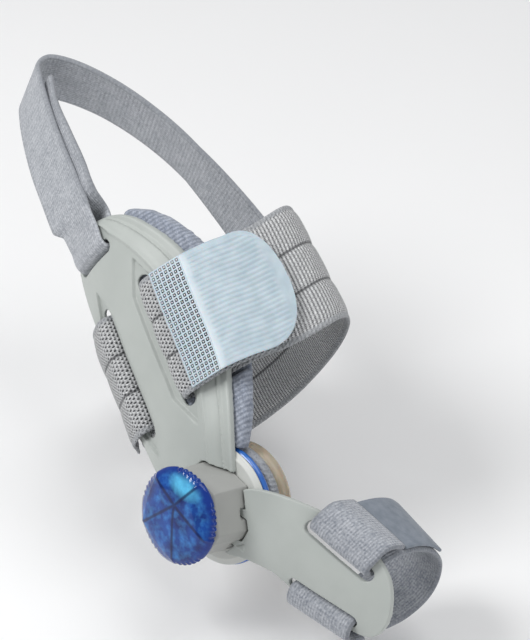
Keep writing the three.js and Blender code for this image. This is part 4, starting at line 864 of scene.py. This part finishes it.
def bar_turn(place, level, radius, bulge, start):
    """Five (place, level) points of a half turn round a bar, from a start angle to its opposite."""
    angles = [start * (1 - i / 2) for i in range(5)]
    return [(place + bulge * radius * math.cos(a), level + radius * math.sin(a)) for a in angles]

def turn_rows(v, bulge, start):
    points = bar_turn(v, face_at(v) - SHELL_WALL / 2, TURN_RADIUS, bulge, start)
    return [strap_row(place, level, 1) for place, level in points]

strap_low, strap_high = low_edge(SLOT_CENTRE), high_edge(SLOT_CENTRE)
quarter = math.pi / 2
sewn_end = [strap_row(*row) for row in (
    (-0.655 * DEPTH, 1.8, 0.75), (-0.575 * DEPTH, 5.5, 0.9), (-0.515 * DEPTH, 8.7, 1),
    (strap_low - 0.9, face_at(strap_low) + 1.4, 1),
    (strap_low + 1.8, face_at(strap_low + 1.8) + OVER + 0.2, 1))]
inner_way = [strap_row(20.5, shell_inside(SLOT_CENTRE, 20.5) - OVER - 0.55, 1),
             strap_row(strap_high, shell_inside(SLOT_CENTRE, strap_high) - OVER - 0.35, 1)]
inner_way += [strap_row(share * (RISE if share > 0 else DEPTH), -side * REACH, hug, drift)
              for share, side, drift, hug in INSTEP]
inner_way += [strap_row(strap_low + 1, face_at(strap_low + 1) - SHELL_WALL - OVER - 0.2, 1)]
outer_way = [strap_row(*row) for row in (
    (18, face_at(18) + OVER + 0.3, 1), (23, face_at(23) + OVER + 0.2, 1),
    (28.5, face_at(28.5) + OVER + 0.2, 1), (0.705 * RISE, 3.9, 0.8, 0.6),
    (0.79 * RISE, 0, 0.62, 1.4, STRAP_THICK * 0.8))]
strap_rows = (sewn_end + turn_rows(-15, 1, quarter) + inner_way[::-1] + turn_rows(13.1, -1, -quarter)
              + outer_way + [strap_row(0.825 * RISE, -1.7, 0.55, 1.5, STRAP_THICK * 0.4)])

SELVEDGE, PUFF, CREASE = 0.72, 0.7, 0.32

def elastic_half(station, across, side):
    """Three puffed bands and flat selvedges, in millimetres on each side."""
    for low, high in ((-0.9, -CREASE), (-CREASE, CREASE), (CREASE, 0.9)):
        if low <= across <= high:
            t = abs(2 * (across - low) / (high - low) - 1)
            return (SELVEDGE + PUFF * (1 - t ** 3.2) ** 0.7) * station["thick"] / STRAP_THICK
    return SELVEDGE * station["thick"] / STRAP_THICK

strap_stations = stations_along(strap_rows, 0.9)
instep_strap = band(strap_stations, 100, elastic_half, "instep_strap_piece", "brace",
                    "instep_strap", from_shell)
strap_length = strap_stations[-1]["walked"]
strap_length / 1000
print("instep strap is", round(strap_length), "mm long,", len(instep_strap.data.polygons), "faces")

# %% [markdown]
# ### Elastic weave
# Elastic webbing shows dark dots where the rubber is covered less, in staggered rows between pale threads.
# Two waves multiplied give that chequer of dots. Where the strap is stretched, between its two slots, the
# dots draw out into fine ribs. Creases and edges are read from the place across the strap, and the creases
# get painted shade, a dark grey along them.

# %% Elastic finish
elastic = Recipe("elastic", Sheen_Weight=0.25, Sheen_Roughness=0.5, Specular_IOR_Level=0.25)
weave = elastic.millimetres("weave")
along, across, _ = elastic.split(weave)
loose = (elastic.noise(weave, 1.1, 2.0) - 0.5) * 1.6
dots = elastic.sine(along, 2.0) * elastic.sine(across, 1.5) + loose
threads, ribs = elastic.ripple(across, 0.58), elastic.ripple(along, 1.0)
fluff = elastic.noise(weave, 2.4, 5.0)
pale = elastic.blend(fluff, linear(176, 177, 178), linear(232, 233, 234), 0.3, 0.7)

banded = elastic.mixed((1.0 - ribs) * 0.38, pale, linear(92, 93, 96))
dotted = elastic.mixed(elastic.fade(dots, 0, 0.95, 0.22, 0.6), banded, linear(36, 37, 41))
rib_dark = (elastic.ripple(along, 1.25) * (threads + 0.35)).clamped()
ribbed = elastic.mixed(elastic.fade(rib_dark, 0, 0.9, 0.25, 0.8), pale, linear(66, 67, 70))
share = along / strap_length
stretched = elastic.fade(share, 0, 1, 0.14, 0.2) * elastic.fade(share, 1, 0, 0.82, 0.87)
either = elastic.mixed(stretched, dotted, ribbed)

from_middle = abs(across)
from_crease = abs(from_middle - CREASE * STRAP_HALF)
# Painted shade: the colour darkens to a deep grey along the creases between the puffed bands.
crease_shaded = elastic.mixed(elastic.fade(from_crease, 0.8, 0, 0.15, 0.75), either, linear(70, 71, 74))
near_edge = elastic.fade(from_middle / STRAP_HALF, 0, 0.75, 0.9, 0.93)
elastic.colour(elastic.mixed(near_edge, crease_shaded, linear(160, 163, 167)))
elastic.roughness(fluff, 0.82, 0.98)
for relief in ((dots, -0.3, 0.8), (ribs, 0.16, 0.7), (threads, 0.08, 0.6), (fluff, 0.12, 0.6)):
    elastic.bump(*relief)
elastic.paint(instep_strap)

# %% [markdown]
# ## Hook tab
# The strap ends in a tab of milky hook tape. First comes a net of square holes with a small white stub in
# each, then a tongue with lengthwise ribs and a round end. The net is a grid with every second face
# removed.

# %% Hook tab
TAB_HALF, TAB_LENGTH, TAB_START, TAB_LIFT = 21, 47, 4.2, 2.4
NET_LENGTH, NET_ROWS, NET_COLUMNS, THREAD, NET_HALF = 12, 24, 7, 0.55, 0.45
tab_rows = [strap_row(13.2, face_at(13.2) + OVER + 0.25, 1), *outer_way,
            strap_row(0.925 * RISE, -7.6, 0.38, 1.3), strap_row(1.005 * RISE, -15, 0.22, 0.4),
            strap_row(1.01 * RISE, -20.5, 0.1, -0.6)]
tab_stations = lifted(stations_along(tab_rows, 0.5), -TAB_LIFT)
tab_stations[0]["walked"] = total = 0.0
for before, station in zip(tab_stations, tab_stations[1:]):
    total += (station["at"] - before["at"]).length
    station["walked"] = total

def station_at(distance):
    """The tab's station a distance from its start, with the tab's own half width."""
    for a, b in zip(tab_stations, tab_stations[1:]):
        if b["walked"] >= distance:
            break
    share = min((distance - a["walked"]) / max(b["walked"] - a["walked"], 1e-6), 1.0)
    return {**a, "at": a["at"].lerp(b["at"], share), "half": TAB_HALF, "walked": distance,
            "along": a["along"].lerp(b["along"], share).normalized(),
            "hug": a["hug"] + (b["hug"] - a["hug"]) * share}

def net_lines(length, holes):
    """Places of the net's lines: threads and holes in turn, with a thread at both ends."""
    pitch = (length - THREAD) / holes
    return [0] + [place for i in range(holes) for place in (i * pitch + THREAD, (i + 1) * pitch)] + [length]

lines_along, lines_across = net_lines(NET_LENGTH, NET_COLUMNS), net_lines(2 * TAB_HALF, NET_ROWS)
gaps_along, gaps_across = len(lines_along) - 1, len(lines_across) - 1
net = bmesh.new()
bmesh.ops.create_grid(net, x_segments=gaps_along, y_segments=gaps_across, size=0.5)
holes = []
for face in net.faces:
    middle = face.calc_center_median()
    if int((middle.x + 0.5) * gaps_along) % 2 and int((middle.y + 0.5) * gaps_across) % 2:
        holes.append(face)
hole_places = []
for i in range(1, gaps_along, 2):
    for j in range(1, gaps_across, 2):
        hole_places.append((TAB_START + (lines_along[i] + lines_along[i + 1]) / 2,
                            (lines_across[j] + lines_across[j + 1]) / 2 - TAB_HALF))
bmesh.ops.delete(net, geom=holes, context="FACES")
made = bmesh.ops.extrude_face_region(net, geom=net.faces[:])
raised = {g for g in made["geom"] if isinstance(g, bmesh.types.BMVert)}
for vert in net.verts:
    i = round((vert.co.x + 0.5) * gaps_along)
    j = round((vert.co.y + 0.5) * gaps_across)
    out = NET_HALF if vert in raised else -NET_HALF
    vert.co = band_point(station_at(TAB_START + lines_along[i]), lines_across[j] / TAB_HALF - 1, out)
tab_net = finish_piece(net, "tab_net", "brace", "instep_strap_tab", from_shell)
modifier(tab_net, "BEVEL", width=0.00014, segments=2, limit_method="ANGLE", angle_limit=math.radians(50))
bake(tab_net)
print("net:", len(hole_places), "holes,", len(tab_net.data.polygons), "faces")

# %% [markdown]
# ### Stubs and tongue
# Each stub is a tiny cone that stands in its hole on the strap below. The tongue is a fine band: its ribs
# are real, because they catch the light one by one at this distance, and its end is narrowed to a round
# shape.

# %% Stubs and tongue
STUB_TIP = -0.62
stubs = bmesh.new()
for distance, across_mm in hole_places:
    station = station_at(distance)
    base = band_point(station, across_mm / TAB_HALF, NET_HALF)
    tip = band_point(station, across_mm / TAB_HALF, STUB_TIP)
    stand = (tip - base).to_track_quat("Z", "Y").to_matrix().to_4x4()
    bmesh.ops.create_cone(stubs, cap_ends=True, segments=12, radius1=0.26, radius2=0.18,
                          depth=(tip - base).length, matrix=Matrix.Translation((base + tip) / 2) @ stand)
tab_stubs = finish_piece(stubs, "tab_stubs", "brace", matrix=from_shell)

TONGUE_START = TAB_START + NET_LENGTH - 0.3
ROUND_LENGTH, ROUND_POWER = 13, 2.3

def tongue_half(station, across, side):
    """Plain below; above, about 24 ribs that fade out in a smooth margin near the end and the edges."""
    if side > 0:
        return 0.5
    ribs_left = (1 - soft_step(station["walked"], 41, 43.5)) * (1 - soft_step(abs(across), 0.9, 0.94))
    ribs_left *= soft_step(station["walked"], TONGUE_START + 1.8, TONGUE_START + 3.5)
    wave = 0.5 + 0.5 * math.cos(2 * math.pi * across * station["half"] / 1.7)
    return 0.36 + 0.26 * wave ** 0.8 * ribs_left

tongue_stations = []
for i in range(121):
    distance = TONGUE_START + (TAB_LENGTH - TONGUE_START) * (1 - (1 - i / 120) ** 1.5)
    t = max(0, distance - (TAB_LENGTH - ROUND_LENGTH)) / ROUND_LENGTH
    half = TAB_HALF * max(1 - t ** ROUND_POWER, 0.02) ** (1 / ROUND_POWER)
    tongue_stations.append({**station_at(distance), "half": half})
tongue = band(tongue_stations, 200, tongue_half, "tab_tongue", "brace", "instep_strap_tab",
              from_shell)

hook_tape = Recipe("hook tape", Subsurface_Weight=0.2, Subsurface_Scale=0.0008, IOR=1.45)
tape_mm = hook_tape.millimetres("weave")
cloud = hook_tape.noise(tape_mm, 0.22, 3.0)
milky = hook_tape.blend(cloud, linear(168, 184, 193), linear(182, 196, 204), *EVEN)
near_net = hook_tape.fade(hook_tape.split(tape_mm)[0] / 20.0, 0.75, 0, 0.82, 0.93)
hook_tape.colour(hook_tape.mixed(near_net, milky, linear(204, 213, 219)))
hook_tape.roughness(hook_tape.noise(tape_mm, 1.1), 0.34, 0.5)
hook_tape.bump(hook_tape.noise(tape_mm, 5.0), 0.02)
hook_tape.paint(tongue)
mottled("net plastic", linear(172, 190, 200), linear(190, 203, 211), (0.3, 4), rough=(2, 0.3, 0.5),
        Subsurface_Weight=0.15, Subsurface_Scale=0.0006).paint(tab_net)
mottled("stub plastic", linear(236, 241, 244), linear(248, 250, 251), (0.5, 4), rough=(2, 0.3, 0.5),
        Subsurface_Weight=0.2, Subsurface_Scale=0.0005).paint(tab_stubs)

# %% [markdown]
# ## Heel strap
# A narrow knit strap that leaves the slot at the shell's rear end, rises round behind, and comes forward
# again to the instep strap's far side, where it is sewn on. Its inner end runs back inside the shell.

# %% Heel strap
HEEL_WAY = [
    (0.24, 0.045, 0.3, 0.42, 0.25), (0.4, 0.1, 0.47, 0.36, 0.24), (0.57, 0.165, 0.63, 0.33, 0.22),
    (0.74, 0.245, 0.79, 0.31, 0.18), (0.89, 0.33, 0.93, 0.3, 0.12), (0.975, 0.4, 0.985, 0.3, 0.07),
    (0.99, 0.49, 1, 0.31, 0.02), (0.93, 0.59, 0.95, 0.33, -0.04), (0.76, 0.73, 0.79, 0.36, -0.1),
    (0.52, 0.86, 0.52, 0.38, -0.14), (0.24, 0.955, 0.16, 0.4, -0.16),
]
HEEL_INNER_WAY = [
    (0.86, 0.37, 0.955, 0.31, 0.16), (0.72, 0.28, 0.84, 0.31, 0.19), (0.54, 0.205, 0.72, 0.33, 0.22),
    (0.36, 0.14, 0.57, 0.36, 0.24), (0.22, 0.09, 0.4, 0.42, 0.25),
]
HEEL_HALF, HEEL_SLOT_HALF, HEEL_THICK, HEEL_OVER, HEEL_TURN = 11.25, 9.8, 2, 1.65, 2.85
HEEL_BACK, HEEL_SIDE, HEEL_RISE = 0.064, 0.062, 0.028
strap_side = through([row for row in INSTEP if row[1] > 0.45][::-1], 1)

def strap_outside(u, v):
    """Level of the instep strap's face on the far side."""
    return -(strap_side(v / (RISE if v > 0 else DEPTH)) * REACH + STRAP_THICK / 2)

def heel_face(u):
    return shell_face(u, HEEL_UP)

def heel_row(back_share, side, rise, tip, out, **more):
    start = from_shell @ Vector((HEEL_PLACE, -heel_face(HEEL_PLACE), HEEL_UP))
    at = to_shell @ (start + Vector((-back_share * HEEL_BACK, side * HEEL_SIDE, rise * HEEL_RISE)))
    return band_row(at, to_shell.to_3x3() @ Vector((tip, out, 0.9)), HEEL_HALF, HEEL_THICK, **more)

def slot_row(u, level, hug=1.0):
    return band_row((u, -level, HEEL_UP), (0, 0, 1), HEEL_SLOT_HALF, HEEL_THICK, hug)

def landing_row(share, v, lift, hug):
    """A row on the instep strap, by its place as a share of that strap's width."""
    return band_row((SLOT_CENTRE + share * 2 * STRAP_HALF, -strap_outside(0, v) + HEEL_OVER + lift, v),
                    (0.03, 0, 1), HEEL_HALF, HEEL_THICK, hug, strap_outside, (-60, 60))

rear = SHELL_FRONT - SHELL_LENGTH
heel_bar = HEEL_PLACE - 2.3
heel_points = bar_turn(heel_bar, heel_face(heel_bar) - SHELL_WALL / 2, HEEL_TURN, 1, -quarter)
landing = [landing_row(*row) for row in ((-0.64, 4, 1.2, 0.7), (-0.4, 3.5, 0.4, 1), (-0.1, 2.5, 0.4, 1),
                                         (0.2, 1, 0.4, 1))]
heel_rows = ([heel_row(*row) for row in HEEL_INNER_WAY]
             + [slot_row(rear - 2, heel_face(rear) - SHELL_WALL - HEEL_OVER - 2.3, 0.9),
                slot_row(rear + 4, heel_face(rear + 4) - SHELL_WALL - HEEL_OVER - 0.5)]
             + [slot_row(*point) for point in heel_points]
             + [slot_row(rear + 3.5, heel_face(rear + 3.5) + HEEL_OVER),
                slot_row(rear - 3, heel_face(rear - 3) + HEEL_OVER + 0.2, 0.85)]
             + [heel_row(*row, face=strap_outside, reach=(-60, 60)) for row in HEEL_WAY] + landing)

def knit_half(station, across, side):
    """A soft knit band, a little fuller in the middle and with a raised, stitched edge."""
    edge = math.exp(-((abs(across) - 0.88) / 0.05) ** 2)
    return (0.86 + 0.08 * (1 - across * across) + 0.07 * edge) * station["thick"] / 2

heel_stations = stations_along(heel_rows, 0.9)
heel_strap = band(heel_stations, 48, knit_half, "heel_strap_piece", "brace", "heel_strap",
                  from_shell)
heel_length = heel_stations[-1]["walked"]
heel_length / 1000
print("heel strap is", round(heel_length), "mm long")

# %% [markdown]
# ## Toe strap and its tab
# The same knit, sewn in a loop round the lower slot's bar of the toe plate. It goes round and comes out
# through the upper slot, with a smooth grey tab on top.

# %% Toe strap
TOE_HALF, TOE_THICK, TOE_OVER, TOE_TURN, TOE_SLOTS = 11.5, 1.9, 1.5, 2.4, 46.7
TOE_RISE, TOE_DEPTH, TOE_REACH = 15.6, 15, 30
TOE_TAB_HALF, TOE_TAB_LIFT = 11.1, 2.0
TOE_WAY = [
    (48, -0.15, 0.96, -0.287, 1), (48.4, 0, 1.03, -0.25, 0.7), (48.6, 0.13, 1.04, -0.22, 0.5),
    (48.7, 0.38, 1.02, -0.22, 0.1), (48.8, 0.62, 0.91, -0.22, 0), (48.9, 0.81, 0.71, -0.21, 0),
    (48.9, 0.95, 0.38, -0.18, 0), (48.8, 1, -0.05, -0.15, 0), (48.6, 0.93, -0.48, -0.13, 0),
    (48.3, 0.7, -0.84, -0.12, 0), (48, 0.38, -1, -0.12, 0.1), (47.6, 0.06, -1, -0.12, 0.5),
    (47.2, -0.14, -0.93, -0.12, 0.9),
]

def toe_row(x, level, z, width, hug=1.0, half=TOE_HALF):
    return band_row((x, -level, z), width, half, TOE_THICK, hug, toe_face, (-12, 16))

def toe_way_row(x, side, rise, dip, hug, half=TOE_HALF):
    z = rise * (TOE_RISE if rise > 0 else TOE_DEPTH)
    return toe_row(x, -side * TOE_REACH, z, (0.96, 0, dip), hug, half)

def toe_turn(z, bulge, start, width):
    points = bar_turn(z, toe_face(TOE_SLOTS, z) - TOE_WALL / 2, TOE_TURN, bulge, start)
    return [toe_row(TOE_SLOTS + 0.3, level, place, width) for place, level in points]

upper_width, lower_width = (0.958, 0, -0.287), (0.993, 0, -0.121)
toe_edge = TOE_WIDTH * toe_high((TOE_SLOTS - TOE_REAR) / TOE_LENGTH)
toe_rows = ([toe_row(47.4, 1.5, -1.16 * TOE_DEPTH, lower_width),
             toe_row(47.2, 6, -1.17 * TOE_DEPTH, lower_width),
             toe_row(47, 9.6, -1.06 * TOE_DEPTH, lower_width)]
            + toe_turn(-9.4 - 2.1, 1, quarter, lower_width)
            + [toe_way_row(*row) for row in TOE_WAY][::-1]
            + toe_turn(10.15 + 2.3, -1, -quarter, upper_width)
            + [toe_row(47.9, toe_face(TOE_SLOTS, toe_edge) + TOE_OVER + 0.8, toe_edge - 0.5, upper_width),
               toe_row(48.5, 6.6, toe_edge + 3, (0.95, 0, -0.25), 0.8),
               toe_row(48.7, 1.6, 1.25 * TOE_RISE, (0.97, 0, -0.22), 0.6),
               toe_row(48.7, -2.4, 1.2 * TOE_RISE, (0.97, 0, -0.22), 0.5)])
toe_stations = stations_along(toe_rows, 0.6)
toe_strap = band(toe_stations, 48, knit_half, "toe_strap_piece", "toe_plate", "toe_strap",
                 from_splint)
toe_strap_length = toe_stations[-1]["walked"]
toe_strap_length / 1000

def toe_tab_half(station, across, side):
    """A smooth tape with the faintest ribs on its outer face."""
    return 0.55 + 0.04 * math.cos(across * 110) * (side < 0)

toe_tab_rows = [toe_way_row(*row, half=TOE_TAB_HALF) for row in TOE_WAY if row[2] > 0.6 and row[1] > 0.1]
toe_tab_stations = lifted(stations_along(toe_tab_rows, 0.5), -TOE_TAB_LIFT)
toe_tab = band(toe_tab_stations, 60, toe_tab_half, "toe_tab_piece", "toe_plate", "toe_strap_tab",
               from_splint)
toe_tab_stations[-1]["walked"] / 1000
print("toe strap is", round(toe_strap_length), "mm long")

# %% [markdown]
# ### Knit finishes
# A melange knit mixes pale and dark fibres, so its colour is broken noise, with fine ribs along the strap.
# The edges are darker where the stitching draws the cloth in. The lining takes the same recipe in a bluer
# grey.

# %% Knits
def darker(shade, share):
    return [c * share for c in shade]

def knit(name, pale, dark, half, pitch, lengthwise=0.95, cross=0.12):
    recipe = Recipe(name, Sheen_Weight=0.3, Sheen_Roughness=0.45, Specular_IOR_Level=0.2)
    mm = recipe.millimetres("weave")
    along, across, _ = recipe.split(mm)
    fibres, patches = recipe.noise(mm, 1.6, 6.0), recipe.noise(mm, 0.25, 3.0)
    across_ribs, length_ribs = recipe.ripple(along, pitch), recipe.ripple(across, lengthwise)
    plain = recipe.blend(fibres * 0.75 + patches * 0.25, dark, pale, 0.36, 0.62)
    ribbed = recipe.mixed((1.0 - length_ribs) * 0.28, plain, darker(dark, 0.45))
    ribbed = recipe.mixed(across_ribs * cross, ribbed, darker(dark, 0.4))
    near_edge = recipe.fade(abs(across) / half, 0, 0.5, 0.86, 0.97)
    recipe.colour(recipe.mixed(near_edge, ribbed, darker(dark, 0.6)))
    recipe.roughness(fibres, 0.85, 1.0)
    for relief in ((length_ribs, 0.14, 0.7), (across_ribs, 0.12, 0.6), (fibres, 0.22, 0.7)):
        recipe.bump(*relief)
    return recipe

NO_EDGE = 1000  # half a width so large that no darker edge shows
knit("heel knit", linear(200, 203, 208), linear(156, 160, 167), HEEL_HALF, 1.5).paint(heel_strap)
knit("toe knit", linear(190, 193, 199), linear(140, 145, 154), TOE_HALF, 1.3).paint(toe_strap)
foam_knit = knit("foam knit", linear(170, 173, 178), linear(130, 134, 141), NO_EDGE, 1.1, 1.1)
mottled("grey tape", linear(118, 126, 136), linear(134, 141, 151), (0.35, 4), EVEN, (1.5, 0.42, 0.6),
        (4, 4, 0.04), "weave", Specular_IOR_Level=0.4).paint(toe_tab)

# %% [markdown]
# ## Lining
# The foam lining under the shell peeks out along its upper edge. A merged copy of the CAD solid is remeshed
# and softened, and each point is given its place along and across the shell as its weave attribute.

# %% Lining
lining = merged_copy("shell_lining", "lining_piece", "brace")
round_off(lining, 0.6, 14)

def add_weave(piece, matrix):
    """Stores each point's place in a frame, in millimetres, as the piece's weave attribute."""
    layer = piece.data.attributes.new("weave", "FLOAT_VECTOR", "POINT")
    back_again = matrix.inverted()
    for i, vert in enumerate(piece.data.vertices):
        p = back_again @ vert.co
        layer.data[i].vector = (p.x, p.z, p.y)

add_weave(lining, from_shell)
add_weave(foam_pad, from_splint)
foam_knit.paint(foam_pad)
lining_knit = knit("lining knit", linear(184, 190, 202), linear(138, 146, 162), NO_EDGE, 1.5, 2.4, 0.45)
lining_knit.paint(lining)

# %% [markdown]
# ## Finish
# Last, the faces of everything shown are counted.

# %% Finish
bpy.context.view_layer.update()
shown = [o for o in scene.objects if o.type == "MESH" and not o.hide_render]
print("faces in all:", sum(len(o.data.polygons) for o in shown))
